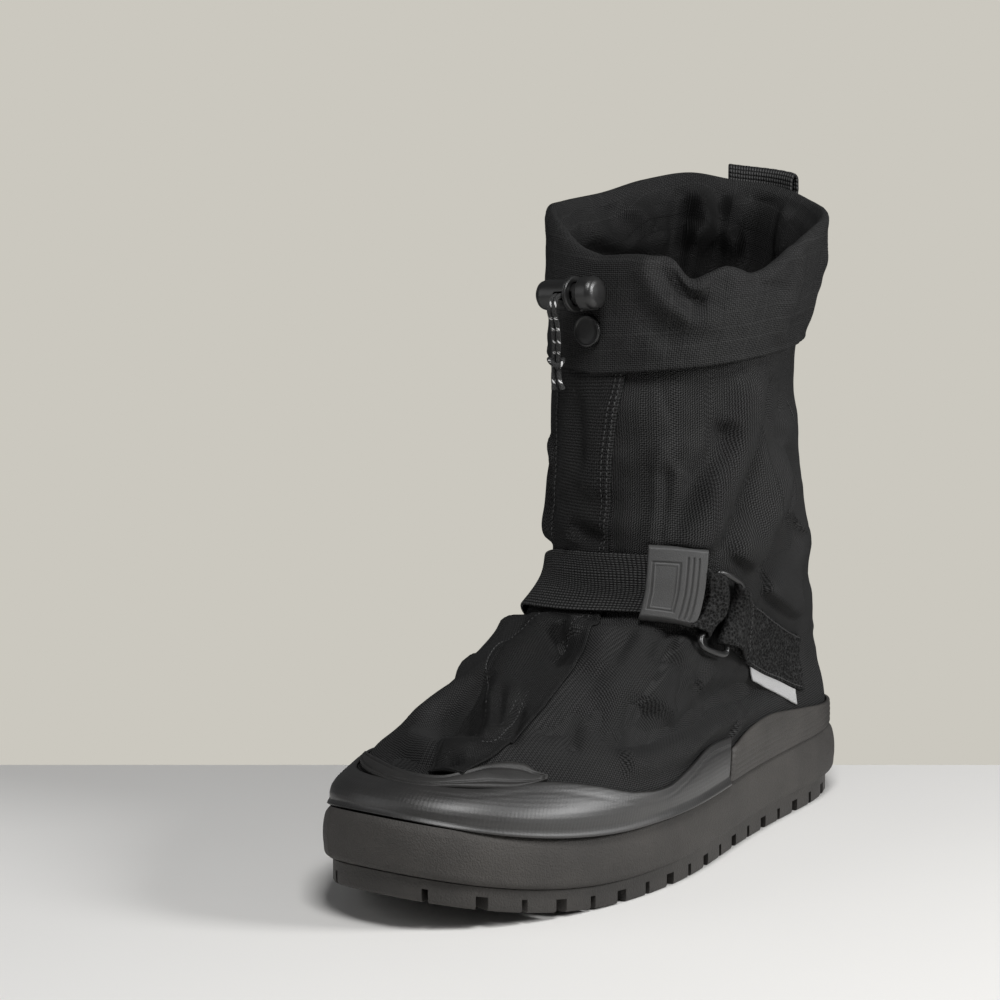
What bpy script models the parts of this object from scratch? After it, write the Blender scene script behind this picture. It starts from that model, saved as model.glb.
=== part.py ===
# Winter overshoe, left boot, standing on its sole: low cloth shaft with a turned-down
# collar and drawcord, webbing strap over the instep, rubberised rand and a lugged sole.
# Metres, +Z up, toe towards -Y, outer side of the foot at +X. The origin is on the floor
# under the middle of the heel.
# The upper is one surface, a ring of points round the foot at each level. A place on it
# is (turn, level, lift): turn runs from 0 at the toe over 0.25 at the outer side to 0.5
# at the heel, level is the height in millimetres before toe spring, and lift is the
# distance outwards. Every overlay, strap and seam is placed that way.
import math

import bmesh
import bpy
import numpy as np
from mathutils import Matrix, Vector

MM = 0.001

# Sole, in millimetres
SOLE_LENGTH = 312.0
SOLE_WIDTH = 122.0
HEEL_WIDTH = 87.0
HEEL_BACK_Y = 51.0
TOE_Y = HEEL_BACK_Y - SOLE_LENGTH
BALL_Y = TOE_Y + 0.36 * SOLE_LENGTH
WAIST_Y = -67.5
WAIST_SPREAD = 46.8
WAIST_OUTER_CUT = 2.0
WAIST_INNER_CUT = 5.0
TOE_SWING = 6.0
TOE_SPRING = 16.4
SPRING_START_Y = -161.0
OUTSOLE_THICKNESS = 9.9
OUTSOLE_INSET = 4.0
MIDSOLE_BOTTOM = 10.2
MIDSOLE_TOP = 31.6
SEAT_GAP = 0.3

# Side notches of the outsole, one every NOTCH_PITCH along the foot, wide and narrow in turn
NOTCH_COUNT = 18
NOTCH_FIRST_Y = -250.5
NOTCH_PITCH = 16.3
NOTCH_WIDTHS = (2.2, 5.0)
NOTCH_HEIGHT = 5.6
NOTCH_DEPTH = 15.0

# Grooves across the middle of the outsole, behind the toe and under the heel
GROOVE_DEPTH = 3.0
GROOVE_WIDTH = 3.2
GROOVE_HALF_LENGTHS = {-234.0: 16.0, -217.7: 24.0, -201.4: 30.0, -185.1: 33.0, -168.8: 34.0,
                       -152.5: 34.0, -119.9: 31.0, -103.6: 27.0, -38.4: 17.0, -22.1: 16.0,
                       26.8: 14.0}

# Upper and collar, in millimetres
UPPER_WALL = 1.8
UPPER_BOTTOM = 32.0
SHAFT_LEVEL = 217.0
RIM_LEVEL = 275.0
TABLE_TOP = 290.0
SPRING_FADE = 55.0
AROUND = 40
OVERLAY_GAP = 0.5
OVERLAY_TOP = 1.8
STRAP_LIFT = 2.3
RAND_GAP = 0.7
RAND_TOP_LIFT = 2.0
SEWN_GAP = 0.8
RING_CLEARANCE = 0.9
STRAP_THICKNESS = 1.4
STRAP_WIDTH = 27.0
CUFF_THICKNESS = 1.4
CUFF_GAP = 0.4

# Cord lock and cord, in millimetres
CORD_DIAMETER = 2.0
LOCK_CENTRE = (-13.6, -121.0, 243.0)
LOCK_TILT = math.radians(6)
LOCK_RADIUS = 6.5
LOCK_LENGTH = 18.0
LOCK_WALL = 1.6
SLOT_FROM_MOUTH = 4.9
SLOT_LENGTH = 5.4
SLOT_HEIGHT = 3.6
PLUNGER_TRAVEL = 3.0
HEAD_RADIUS = 7.2

# Corners of a box's faces: the lower four points and the upper four run the same way round
BOX_FACES = ((0, 1, 2, 3), (4, 5, 6, 7), (0, 1, 5, 4), (1, 2, 6, 5), (2, 3, 7, 6), (3, 0, 4, 7))

COLOURS = {
    "cloth": ((0.012, 0.012, 0.013, 1), 0.75, 0.0),
    "ripstop": ((0.014, 0.014, 0.015, 1), 0.6, 0.0),
    "rubber": ((0.032, 0.031, 0.028, 1), 0.7, 0.0),
    "coated": ((0.018, 0.018, 0.019, 1), 0.42, 0.0),
    "webbing": ((0.014, 0.014, 0.015, 1), 0.8, 0.0),
    "tab_rubber": ((0.06, 0.06, 0.058, 1), 0.55, 0.0),
    "plastic": ((0.022, 0.022, 0.024, 1), 0.35, 0.0),
    "label": ((0.3, 0.3, 0.3, 1), 0.6, 0.0),
    "cord": ((0.02, 0.02, 0.022, 1), 0.7, 0.0),
    "board": ((0.05, 0.05, 0.05, 1), 0.9, 0.0),
}

# Sections of the upper, toe to heel at each level, in millimetres. Columns: level,
# front y, y of the widest place, back y, half width outside, half width inside, half
# width at the heel, roundness of the front, roundness of the back, swing of the toe to
# the inside, share of the sole's waist.
SECTIONS = (
    (32.0, -251.0, -150.0, 49.0, 60.0, 56.5, 40.5, 2.30, 3.2, 6.0, 1.0),
    (42.0, -247.5, -150.0, 50.0, 60.5, 57.0, 41.5, 2.30, 3.0, 6.0, 1.0),
    (52.0, -236.0, -150.0, 49.5, 57.5, 54.5, 41.5, 2.20, 2.8, 6.0, 0.9),
    (62.0, -218.0, -146.0, 48.3, 53.0, 50.5, 41.0, 2.10, 2.6, 6.5, 0.8),
    (72.0, -199.0, -138.0, 46.0, 48.0, 46.0, 41.0, 2.00, 2.4, 7.0, 0.6),
    (82.0, -176.0, -122.0, 44.5, 44.0, 43.0, 42.0, 1.90, 2.3, 7.5, 0.4),
    (92.0, -149.0, -104.0, 43.0, 41.5, 41.0, 43.0, 1.90, 2.2, 8.0, 0.2),
    (102.0, -122.0, -86.0, 40.5, 41.0, 41.0, 44.5, 2.00, 2.1, 7.0, 0.0),
    (112.0, -110.0, -72.0, 36.0, 43.5, 43.5, 46.0, 2.00, 2.1, 4.0, 0.0),
    (124.0, -108.0, -62.0, 30.0, 47.0, 47.0, 48.0, 2.00, 2.1, 1.0, 0.0),
    (140.0, -109.0, -56.0, 23.5, 49.5, 49.5, 49.0, 2.00, 2.0, 0.0, 0.0),
    (175.0, -110.0, -54.0, 13.5, 50.5, 50.5, 50.0, 2.00, 2.0, 0.0, 0.0),
    (217.0, -108.0, -52.0, 11.5, 50.5, 50.5, 51.0, 2.10, 2.1, 0.0, 0.0),
    (245.0, -107.0, -52.0, 22.0, 52.0, 52.0, 52.0, 2.10, 2.1, 0.0, 0.0),
    (275.0, -106.0, -50.0, 33.0, 54.0, 54.0, 54.0, 2.10, 2.1, 0.0, 0.0),
)

# Height of the collar's rim round the leg. Columns: turn, height.
RIM = (
    (0.00, 257.0), (0.06, 258.0), (0.09, 254.0), (0.115, 244.0), (0.142, 252.0),
    (0.17, 247.0), (0.21, 253.0), (0.25, 259.0), (0.30, 264.0), (0.38, 268.0),
    (0.45, 271.0), (0.50, 276.0), (0.56, 279.0), (0.61, 281.0), (0.67, 280.0),
    (0.73, 277.0), (0.80, 277.0), (0.88, 279.0), (0.925, 275.0), (0.97, 264.0),
    (1.00, 257.0),
)

# Levels at which the upper's rings are built, closest where the vamp meets the shaft
UPPER_LEVELS = (32, 37, 42, 48, 54, 60, 66, 72, 78, 84, 90, 95, 100, 105, 110, 116,
                124, 134, 150, 175, 200, 217, 236, 256, 275)

# Edges of the front flap. Columns: turn and level of the inner edge, then of the outer.
FLAP_EDGES = (
    (-0.078, 255.0, 0.036, 255.0),
    (-0.080, 205.0, 0.033, 209.0),
    (-0.083, 170.0, 0.018, 170.0),
    (-0.085, 132.0, 0.012, 133.0),
    (-0.070, 112.0, 0.020, 112.0),
    (-0.040, 98.0, 0.040, 99.0),
    (-0.020, 90.0, 0.052, 91.0),
    (0.004, 80.0, 0.055, 81.0),
    (0.018, 71.0, 0.053, 71.0),
    (0.027, 64.0, 0.045, 63.5),
)

# Edges of the toe patch. Columns: turn and level of the lower edge, then of the upper.
TOE_PATCH_EDGES = (
    (-0.083, 55.0, -0.080, 57.5),
    (-0.055, 52.0, -0.050, 60.5),
    (0.000, 51.0, 0.000, 61.5),
    (0.040, 51.5, 0.042, 62.0),
    (0.068, 53.0, 0.070, 60.5),
    (0.092, 56.0, 0.090, 58.0),
)

# Top of the rand from the toe to where the heel counter starts. Columns: turn, level.
RAND_TOP = (
    (0.00, 49.5), (0.05, 50.5), (0.09, 54.0), (0.13, 51.0), (0.165, 46.0), (0.195, 44.5),
    (0.22, 48.0), (0.24, 51.5), (0.284, 51.5),
)
RAND_END = 0.284
COUNTER_START = 0.287
# Top of the heel counter. Columns: turn, level.
COUNTER_TOP = ((0.287, 46.0), (0.31, 49.5), (0.34, 51.5), (0.40, 47.5), (0.45, 43.0), (0.50, 42.0))

# Middle line of the instep strap over the foot. Columns: turn, level.
STRAP_PATH = (
    (-0.36, 62.0), (-0.30, 75.0), (-0.22, 92.0), (-0.15, 106.0), (-0.09, 114.0),
    (0.00, 118.5), (0.06, 119.5), (0.10, 118.5), (0.14, 115.0), (0.19, 105.5),
    (0.24, 95.5), (0.32, 79.0), (0.42, 61.0), (0.46, 54.0),
)
# Places along that line, in millimetres from the front of the leg
STRAP_START = -108.0
STRAP_END = 44.0
TAB_START = 27.5
TAB_END = 54.5
TAB_WIDTH = 33.0
RING_FRONT = 64.0
RING_BACK = 79.0
ANCHOR_END = 150.0
LABEL_START = 100.0
LABEL_END = 128.0
RING_BAR = 2.6
RING_LENGTH = 32.0
RING_LIFT = 5.0
TAIL_WIDTH = 21.0
ANCHOR_WIDTH_FRONT = 25.0
ANCHOR_WIDTH_BACK = 21.0


def smooth_step(start, end, value):
    """0 before start, 1 after end, with an even s-curve between them"""
    part = np.clip((value - start) / (end - start), 0.0, 1.0)
    return part * part * (3.0 - 2.0 * part)


def smooth_rows(rows, places):
    """Rows of a table at the given places of its first column, joined by cubic curves"""
    table = np.array(rows, dtype=float)
    knots, values = table[:, 0], table[:, 1:]
    slopes = np.gradient(values, knots, axis=0)
    places = np.atleast_1d(np.asarray(places, dtype=float))
    index = np.clip(np.searchsorted(knots, places, side="right") - 1, 0, len(knots) - 2)
    span = (knots[index + 1] - knots[index])[:, None]
    part = np.clip((places - knots[index])[:, None] / span, 0.0, 1.0)
    start, end = values[index], values[index + 1]
    pull_start, pull_end = slopes[index] * span, slopes[index + 1] * span
    return (start * (1 + 2 * part) * (1 - part) ** 2 + pull_start * part * (1 - part) ** 2
            + end * part ** 2 * (3 - 2 * part) + pull_end * part ** 2 * (part - 1))


def toe_spring(y):
    """Rise of the sole above the floor, growing with the square of the way to the toe"""
    part = np.clip((SPRING_START_Y - y) / (SPRING_START_Y - TOE_Y), 0.0, 1.0)
    return TOE_SPRING * part ** 2


def half_outline(section, side):
    """One side of a section, from the front to the back: two rounded ends on a tapering body"""
    front, widest, back, outer, inner, heel, front_round, back_round, swing, waist = section
    width = outer if side > 0 else inner
    cut = WAIST_OUTER_CUT if side > 0 else WAIST_INNER_CUT
    angle = np.linspace(0.0, np.pi / 2, 120)
    front_y = widest + (front - widest) * np.cos(angle) ** (2 / front_round)
    back_y = widest + (back - widest) * np.sin(angle) ** (2 / back_round)
    y = np.concatenate((front_y, back_y[1:]))
    ends = np.concatenate((np.sin(angle) ** (2 / front_round),
                           (np.cos(angle) ** (2 / back_round))[1:]))
    taper = smooth_step(widest, back - 0.25 * (back - widest), y)
    body = width * (1 - taper) + heel * taper
    body = body - waist * cut * np.exp(-((y - WAIST_Y) / WAIST_SPREAD) ** 2)
    x = side * body * ends - swing * smooth_step(widest + 40.0, front, y)
    x[-1] = 0.0
    return x, y


def outline(section, turns):
    """Points of a section at the given turns, spaced by the length along each side"""
    turns = np.asarray(turns, dtype=float) % 1.0
    points = np.zeros((len(turns), 2))
    for side in (1, -1):
        x, y = half_outline(section, side)
        length = np.concatenate(([0.0], np.cumsum(np.hypot(np.diff(x), np.diff(y)))))
        length /= length[-1]
        chosen = turns <= 0.5 if side > 0 else turns > 0.5
        way = turns[chosen] * 2 if side > 0 else (1.0 - turns[chosen]) * 2
        points[chosen, 0] = np.interp(way, length, x)
        points[chosen, 1] = np.interp(way, length, y)
    return points


def build_surface():
    """Dense table of the upper's outer face and its normals, by level and turn"""
    levels = np.arange(UPPER_BOTTOM, TABLE_TOP + 0.5, 1.0)
    turns = np.linspace(0.0, 1.0, 481)
    sections = smooth_rows(SECTIONS, np.minimum(levels, RIM_LEVEL))
    rim = smooth_rows(RIM, turns)[:, 0]
    points = np.zeros((len(levels), len(turns), 3))
    for row, (level, section) in enumerate(zip(levels, sections)):
        plan = outline(section, turns[:-1])
        plan = np.vstack((plan, plan[:1]))
        fade = 1.0 - np.clip((level - UPPER_BOTTOM) / SPRING_FADE, 0.0, 1.0)
        height = level + toe_spring(plan[:, 1]) * fade
        if level > SHAFT_LEVEL:
            share = min((level - SHAFT_LEVEL) / (RIM_LEVEL - SHAFT_LEVEL), 1.0)
            height = SHAFT_LEVEL + share * (rim - SHAFT_LEVEL) + max(level - RIM_LEVEL, 0.0)
        points[row, :, 0:2] = plan
        points[row, :, 2] = height
    along = np.gradient(points, axis=0)
    wrapped = np.concatenate((points[:, -2:-1], points, points[:, 1:2]), axis=1)
    around = wrapped[:, 2:] - wrapped[:, :-2]
    normals = np.cross(around, along)
    normals /= np.linalg.norm(normals, axis=2, keepdims=True)
    return points, normals


SURFACE, NORMALS = build_surface()


def read_table(table, turn, level):
    """Value of a surface table between its rows and columns"""
    across = (np.asarray(turn, dtype=float) % 1.0) * (table.shape[1] - 1)
    down = np.clip(np.asarray(level, dtype=float) - UPPER_BOTTOM, 0.0, table.shape[0] - 1.001)
    across, down = np.broadcast_arrays(across, down)
    column = np.minimum(across.astype(int), table.shape[1] - 2)
    row = down.astype(int)
    right, up = (across - column)[..., None], (down - row)[..., None]
    lower = table[row, column] * (1 - right) + table[row, column + 1] * right
    upper = table[row + 1, column] * (1 - right) + table[row + 1, column + 1] * right
    return lower * (1 - up) + upper * up


def on_upper(turn, level, lift=0.0):
    """Place on the upper, lifted outwards from its outer face"""
    normal = read_table(NORMALS, turn, level)
    normal = normal / np.linalg.norm(normal, axis=-1, keepdims=True)
    return read_table(SURFACE, turn, level) + normal * np.asarray(lift, dtype=float)[..., None]


def material(name):
    """The shared material of that name"""
    found = bpy.data.materials.get(name)
    if found:
        return found
    colour, roughness, metallic = COLOURS[name]
    made = bpy.data.materials.new(name)
    made.use_nodes = True
    shader = made.node_tree.nodes["Principled BSDF"]
    shader.inputs["Base Color"].default_value = colour
    shader.inputs["Roughness"].default_value = roughness
    shader.inputs["Metallic"].default_value = metallic
    return made


def add_mesh(name, vertices, faces, material_name, group="overshoe"):
    """Object from points in millimetres, with its faces turned outwards"""
    mesh = bpy.data.meshes.new(name)
    mesh.from_pydata([tuple(point) for point in np.asarray(vertices) * MM], [], faces)
    work = bmesh.new()
    work.from_mesh(mesh)
    bmesh.ops.recalc_face_normals(work, faces=work.faces)
    work.to_mesh(mesh)
    work.free()
    made = bpy.data.objects.new(name, mesh)
    bpy.data.collections[group].objects.link(made)
    mesh.materials.append(material(material_name))
    return made


def strip_cap(first, second):
    """Faces that close an end between two lines of points with the same count"""
    faces = []
    for step in range(len(first) - 1):
        corners = [first[step], first[step + 1], second[step + 1], second[step]]
        corners = [c for k, c in enumerate(corners) if c not in corners[:k]]
        faces.append(corners)
    return faces


def loft_rings(name, rings, material_name, closed=False):
    """Solid from rings round the foot: capped at both ends, or joined last to first"""
    rings = np.asarray(rings)
    count, around = rings.shape[:2]
    faces = []
    for row in range(count if closed else count - 1):
        this, following = row * around, ((row + 1) % count) * around
        for step in range(around):
            nearby = (step + 1) % around
            faces.append([this + step, this + nearby, following + nearby, following + step])
    if not closed:
        outer = list(range(around // 2 + 1))
        inner = [(around - step) % around for step in outer]
        for start in (0, (count - 1) * around):
            faces += strip_cap([start + k for k in outer], [start + k for k in inner])
    return add_mesh(name, rings.reshape(-1, 3), faces, material_name)


def loft_strips(name, lower, upper, material_name):
    """Solid between two grids of points that lie one over the other"""
    lower, upper = np.asarray(lower), np.asarray(upper)
    rows, columns = lower.shape[:2]
    index = np.arange(rows * columns).reshape(rows, columns)
    top = index + rows * columns
    faces = []
    for row in range(rows - 1):
        for column in range(columns - 1):
            cell = (slice(row, row + 2), slice(column, column + 2))
            for grid in (index, top):
                a, b, c, d = grid[cell].reshape(-1)
                faces.append([a, b, d, c])
    for line, over in ((index[0], top[0]), (index[-1], top[-1]),
                       (index[:, 0], top[:, 0]), (index[:, -1], top[:, -1])):
        faces += strip_cap(list(line), list(over))
    points = np.concatenate((lower.reshape(-1, 3), upper.reshape(-1, 3)))
    return add_mesh(name, points, faces, material_name)


def overlay(name, turn, level, bottom, top, material_name):
    """Sheet on the upper over a grid of turns and levels, between two lifts"""
    return loft_strips(name, on_upper(turn, level, np.full(turn.shape, bottom)),
                       on_upper(turn, level, np.full(turn.shape, top)), material_name)


def edge_grid(edges, steps_along, steps_across):
    """Turns and levels between two edges, each a pair of columns in the table"""
    rows = np.array(edges, dtype=float)
    places = np.arange(len(rows), dtype=float)
    wanted = np.linspace(0.0, len(rows) - 1.0, steps_along + 1)
    read = smooth_rows(np.column_stack((places, rows)), wanted)
    part = np.linspace(0.0, 1.0, steps_across + 1)[None, :]
    turn = read[:, 0:1] * (1 - part) + read[:, 2:3] * part
    level = read[:, 1:2] * (1 - part) + read[:, 3:4] * part
    return turn, level


def sole_section(inset):
    """Section of the sole's outline, drawn in by the inset"""
    return (TOE_Y + inset, BALL_Y, HEEL_BACK_Y - inset, SOLE_WIDTH / 2 + 2.0 - inset,
            SOLE_WIDTH / 2 - 2.0 - inset, HEEL_WIDTH / 2 - inset, 2.25, 3.6, TOE_SWING, 1.0)


def sole_ring(inset, height, around):
    """Ring of the sole at a height above the sprung ground line"""
    plan = outline(sole_section(inset), np.arange(around) / around)
    return np.column_stack((plan, height + toe_spring(plan[:, 1])))


def block(centre, along, length, depth, bottom, top):
    """Corners of an upright block: length runs with the along direction, depth across it"""
    along = np.asarray(along, dtype=float)
    across = np.array((along[1], -along[0]))
    corners = [centre + along * a * length / 2 + across * b * depth / 2
               for a, b in ((-1, -1), (1, -1), (1, 1), (-1, 1))]
    return [(corner[0], corner[1], height) for height in (bottom, top) for corner in corners]


def notch_blocks():
    """One block for each side notch, square to the sole's edge"""
    section = sole_section(OUTSOLE_INSET)
    turns = np.linspace(0.0, 1.0, 721)[:-1]
    edge = outline(section, turns)
    blocks = []
    for number in range(NOTCH_COUNT):
        y = NOTCH_FIRST_Y + NOTCH_PITCH * number
        for side in (turns < 0.5, turns > 0.5):
            spot = np.flatnonzero(side)[np.argmin(np.abs(edge[side, 1] - y))]
            tangent = edge[(spot + 1) % 720] - edge[spot - 1]
            tangent /= np.linalg.norm(tangent)
            base = toe_spring(edge[spot, 1])
            blocks.append(block(edge[spot], tangent, NOTCH_WIDTHS[number % 2], 2 * NOTCH_DEPTH,
                                base - 5.0, base + NOTCH_HEIGHT))
    return blocks


def groove_blocks():
    """One block for each groove across the middle of the tread"""
    return [block(np.array((-1.0, y)), (0.0, 1.0), GROOVE_WIDTH, 2 * half_length,
                  toe_spring(y) - 5.0, toe_spring(y) + GROOVE_DEPTH)
            for y, half_length in GROOVE_HALF_LENGTHS.items()]


def tread_cutter():
    """All the blocks that cut the tread, as one hidden object"""
    vertices, faces = [], []
    for corners in notch_blocks() + groove_blocks():
        start = len(vertices)
        vertices += corners
        faces += [[start + k for k in face] for face in BOX_FACES]
    return hide_cutter(add_mesh("tread_cutter", vertices, faces, "rubber", "cutters"))


def hide_cutter(cutter):
    """Leaves a cutter out of the model that is seen"""
    cutter.hide_render = True
    cutter.display_type = "WIRE"
    return cutter


def cut(target, cutter):
    """Takes the cutter's shape out of the target"""
    step = target.modifiers.new("cut", "BOOLEAN")
    step.operation = "DIFFERENCE"
    step.solver = "EXACT"
    step.object = cutter


def make_outsole():
    """Rubber outsole with a small rounding under its edge, notched all along both sides"""
    rings = [sole_ring(OUTSOLE_INSET + 1.0, 0.0, AROUND), sole_ring(OUTSOLE_INSET, 1.2, AROUND),
             sole_ring(OUTSOLE_INSET, OUTSOLE_THICKNESS, AROUND)]
    cut(loft_rings("outsole", rings, "rubber"), tread_cutter())


def make_midsole():
    """Moulded band with a bulging side and a rounded top edge"""
    profile = ((3.2, MIDSOLE_BOTTOM), (1.0, 12.0), (0.0, 19.0), (0.4, 26.0), (1.6, 30.0), (3.6, MIDSOLE_TOP))
    loft_rings("midsole", [sole_ring(inset, height, AROUND) for inset, height in profile], "rubber")


def upper_ring(level, lift, around=AROUND):
    """Ring of the upper; its height is kept when it is lifted, so that flat edges stay flat"""
    turns = np.arange(around) / around
    ring = on_upper(turns, level, np.full(around, float(lift)))
    ring[:, 2] = on_upper(turns, level)[:, 2]
    return ring


def make_insole():
    """Loose board on the midsole, clear of the upper's wall"""
    bottom = UPPER_BOTTOM + 0.1
    loft_rings("insole", [upper_ring(bottom, -UPPER_WALL - 0.6), upper_ring(bottom + 3.5, -UPPER_WALL - 0.6)],
               "board")


def make_upper():
    """Hollow shell of padded cloth, open at the collar and under the foot"""
    outer = [upper_ring(UPPER_LEVELS[0], 0.0)]
    turns = np.arange(AROUND) / AROUND
    outer += [on_upper(turns, level) for level in UPPER_LEVELS[1:-1]]
    outer.append(upper_ring(RIM_LEVEL, 0.0))
    inner = [upper_ring(UPPER_LEVELS[0], -UPPER_WALL)]
    inner += [on_upper(turns, level, np.full(AROUND, -UPPER_WALL)) for level in UPPER_LEVELS[1:-1]]
    inner.append(upper_ring(RIM_LEVEL, -UPPER_WALL))
    loft_rings("upper", outer + inner[::-1], "cloth", closed=True)


def cuff_bottom(turn):
    """Level of the cuff's loose edge"""
    rows = ((0.0, 209.0), (0.18, 215.0), (0.5, 215.0), (0.82, 213.0), (1.0, 209.0))
    return smooth_rows(rows, np.asarray(turn, dtype=float) % 1.0)[:, 0]


def cuff_lift(turn, level):
    """Lift of the cuff's outer face: a soft belly, and a flare at its loose edge behind"""
    turn = np.atleast_1d(np.asarray(turn, dtype=float)) % 1.0
    bottom = cuff_bottom(turn)
    part = np.clip((np.asarray(level, dtype=float) - bottom) / (RIM_LEVEL - bottom), 0.0, 1.0)
    flare = 3.0 * np.exp(-((turn - 0.42) / 0.17) ** 2)
    return 3.6 + 1.0 * np.sin(part * np.pi) + flare * (1.0 - smooth_step(0.4, 1.0, part))


def make_cuff():
    """Collar turned down outside: out of the boot, over the rim and down to its loose edge"""
    turns = np.arange(AROUND) / AROUND
    bottom = cuff_bottom(turns)
    outside = [bottom + (RIM_LEVEL - bottom) * part for part in (0.0, 0.15, 0.35, 0.55, 0.75, 0.9)]
    rings = [on_upper(turns, level, cuff_lift(turns, level) - CUFF_THICKNESS) for level in outside]
    over = ((2.0, 274.0), (0.8, 276.2), (-1.4, 276.4), (-2.3, 275.0), (-2.4, 262.0),
            (-3.7, 262.0), (-4.0, 275.0), (-2.2, 278.0), (1.2, 278.2), (3.3, 275.6))
    rings += [on_upper(turns, level, np.full(AROUND, lift)) for lift, level in over]
    rings += [on_upper(turns, level, cuff_lift(turns, level)) for level in outside[::-1]]
    loft_rings("cuff", rings, "ripstop", closed=True)


def make_front_flap():
    """Placket from under the cuff down the front of the leg and over the vamp to the toe"""
    turn, level = edge_grid(FLAP_EDGES, 27, 4)
    overlay("front_flap", turn, level, OVERLAY_GAP, OVERLAY_TOP, "cloth")


def make_toe_patch():
    """Leaf-shaped patch over the end of the placket"""
    turn, level = edge_grid(TOE_PATCH_EDGES, 16, 4)
    overlay("toe_patch", turn, level, OVERLAY_GAP + 0.1, OVERLAY_TOP + 0.5, "coated")


def band_grid(turns, top, steps_across):
    """Turns and levels of a band that stands on the midsole"""
    part = np.linspace(0.0, 1.0, steps_across + 1)[None, :]
    bottom = UPPER_BOTTOM + SEAT_GAP
    return np.repeat(turns[:, None], steps_across + 1, axis=1), bottom + (top[:, None] - bottom) * part


def make_rand():
    """Rubberised band round the front and both sides of the foot"""
    turns = np.linspace(-RAND_END, RAND_END, 45)
    top = smooth_rows(RAND_TOP, np.abs(turns))[:, 0]
    turn, level = band_grid(turns, top, 3)
    overlay("rand", turn, level, RAND_GAP, RAND_TOP_LIFT, "coated")


def make_heel_counter():
    """Ribbed rubber band round the heel"""
    turns = np.linspace(COUNTER_START, 1.0 - COUNTER_START, 33)
    top = smooth_rows(COUNTER_TOP, 0.5 - np.abs(turns - 0.5))[:, 0]
    turn, level = band_grid(turns, top, 6)
    ribs = RAND_TOP_LIFT + 0.6 * (np.arange(7) % 2)
    loft_strips("heel_counter", on_upper(turn, level, np.full(turn.shape, RAND_GAP)),
                on_upper(turn, level, np.tile(ribs, (len(turns), 1))), "rubber")


def strap_table():
    """Turn and level along the strap's middle line, with the length from the leg's front"""
    turns = np.linspace(STRAP_PATH[0][0], STRAP_PATH[-1][0], 400)
    levels = smooth_rows(STRAP_PATH, turns)[:, 0]
    points = on_upper(turns, levels)
    length = np.concatenate(([0.0], np.cumsum(np.linalg.norm(np.diff(points, axis=0), axis=1))))
    return turns, levels, length - np.interp(0.0, turns, length)


STRAP_TURNS, STRAP_LEVELS, STRAP_LENGTHS = strap_table()


def on_strap(along, across, lift):
    """Place beside the strap's middle line: millimetres along it, across it and outwards"""
    along, across, lift = np.broadcast_arrays(*(np.asarray(v, dtype=float) for v in (along, across, lift)))
    turn = np.interp(along, STRAP_LENGTHS, STRAP_TURNS)
    level = np.interp(along, STRAP_LENGTHS, STRAP_LEVELS)
    by_turn = (on_upper(turn + 0.002, level) - on_upper(turn - 0.002, level)) / 0.004
    by_level = (on_upper(turn, level + 1.0) - on_upper(turn, level - 1.0)) / 2.0
    ahead = np.interp(along + 1.0, STRAP_LENGTHS, STRAP_TURNS) - turn
    climb = np.interp(along + 1.0, STRAP_LENGTHS, STRAP_LEVELS) - level
    run = by_turn * ahead[..., None] + by_level * climb[..., None]
    run /= np.linalg.norm(run, axis=-1, keepdims=True)
    side = np.cross(read_table(NORMALS, turn, level), run)
    side /= np.linalg.norm(side, axis=-1, keepdims=True)
    aa, ab, bb = ((p * q).sum(-1) for p, q in ((by_turn, by_turn), (by_turn, by_level), (by_level, by_level)))
    sa, sb = (by_turn * side).sum(-1), (by_level * side).sum(-1)
    root = aa * bb - ab * ab
    return on_upper(turn + across * (sa * bb - sb * ab) / root,
                    level + across * (sb * aa - sa * ab) / root, lift)


def ribbon(name, line, thickness, half_widths, material_name, across_steps=4):
    """Flat band along a line of (along, lift) places, with its own half width at each"""
    line = np.asarray(line, dtype=float)
    run = np.gradient(line, axis=0)
    run /= np.linalg.norm(run, axis=1, keepdims=True)
    offset = np.column_stack((-run[:, 1], run[:, 0])) * thickness / 2
    part = np.linspace(-1.0, 1.0, across_steps + 1)[None, :]
    across = np.broadcast_to(np.asarray(half_widths, dtype=float), (len(line),))[:, None] * part
    faces = []
    for sign in (-1, 1):
        edge = line + sign * offset
        faces.append(on_strap(edge[:, 0:1] + 0 * across, across, edge[:, 1:2] + 0 * across))
    return loft_strips(name, faces[0], faces[1], material_name)


def arc(centre, radius, start, end, steps):
    """Places on an arc in the plane of (along, lift), angles in degrees"""
    angles = np.radians(np.linspace(start, end, steps + 1))
    return [(centre[0] + radius * math.cos(a), centre[1] + radius * math.sin(a)) for a in angles]


def make_strap():
    """Webbing over the instep, sewn low on the inner side and ending under the tab"""
    middle = STRAP_LIFT + STRAP_THICKNESS / 2
    low = SEWN_GAP + STRAP_THICKNESS / 2
    line = []
    for along in np.linspace(STRAP_START, STRAP_END, 34):
        rise = float(smooth_step(-52.0, -36.0, along))
        line.append((along, low + (middle - low) * rise))
    ribbon("strap", line, STRAP_THICKNESS, STRAP_WIDTH / 2, "webbing", 3)


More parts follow.
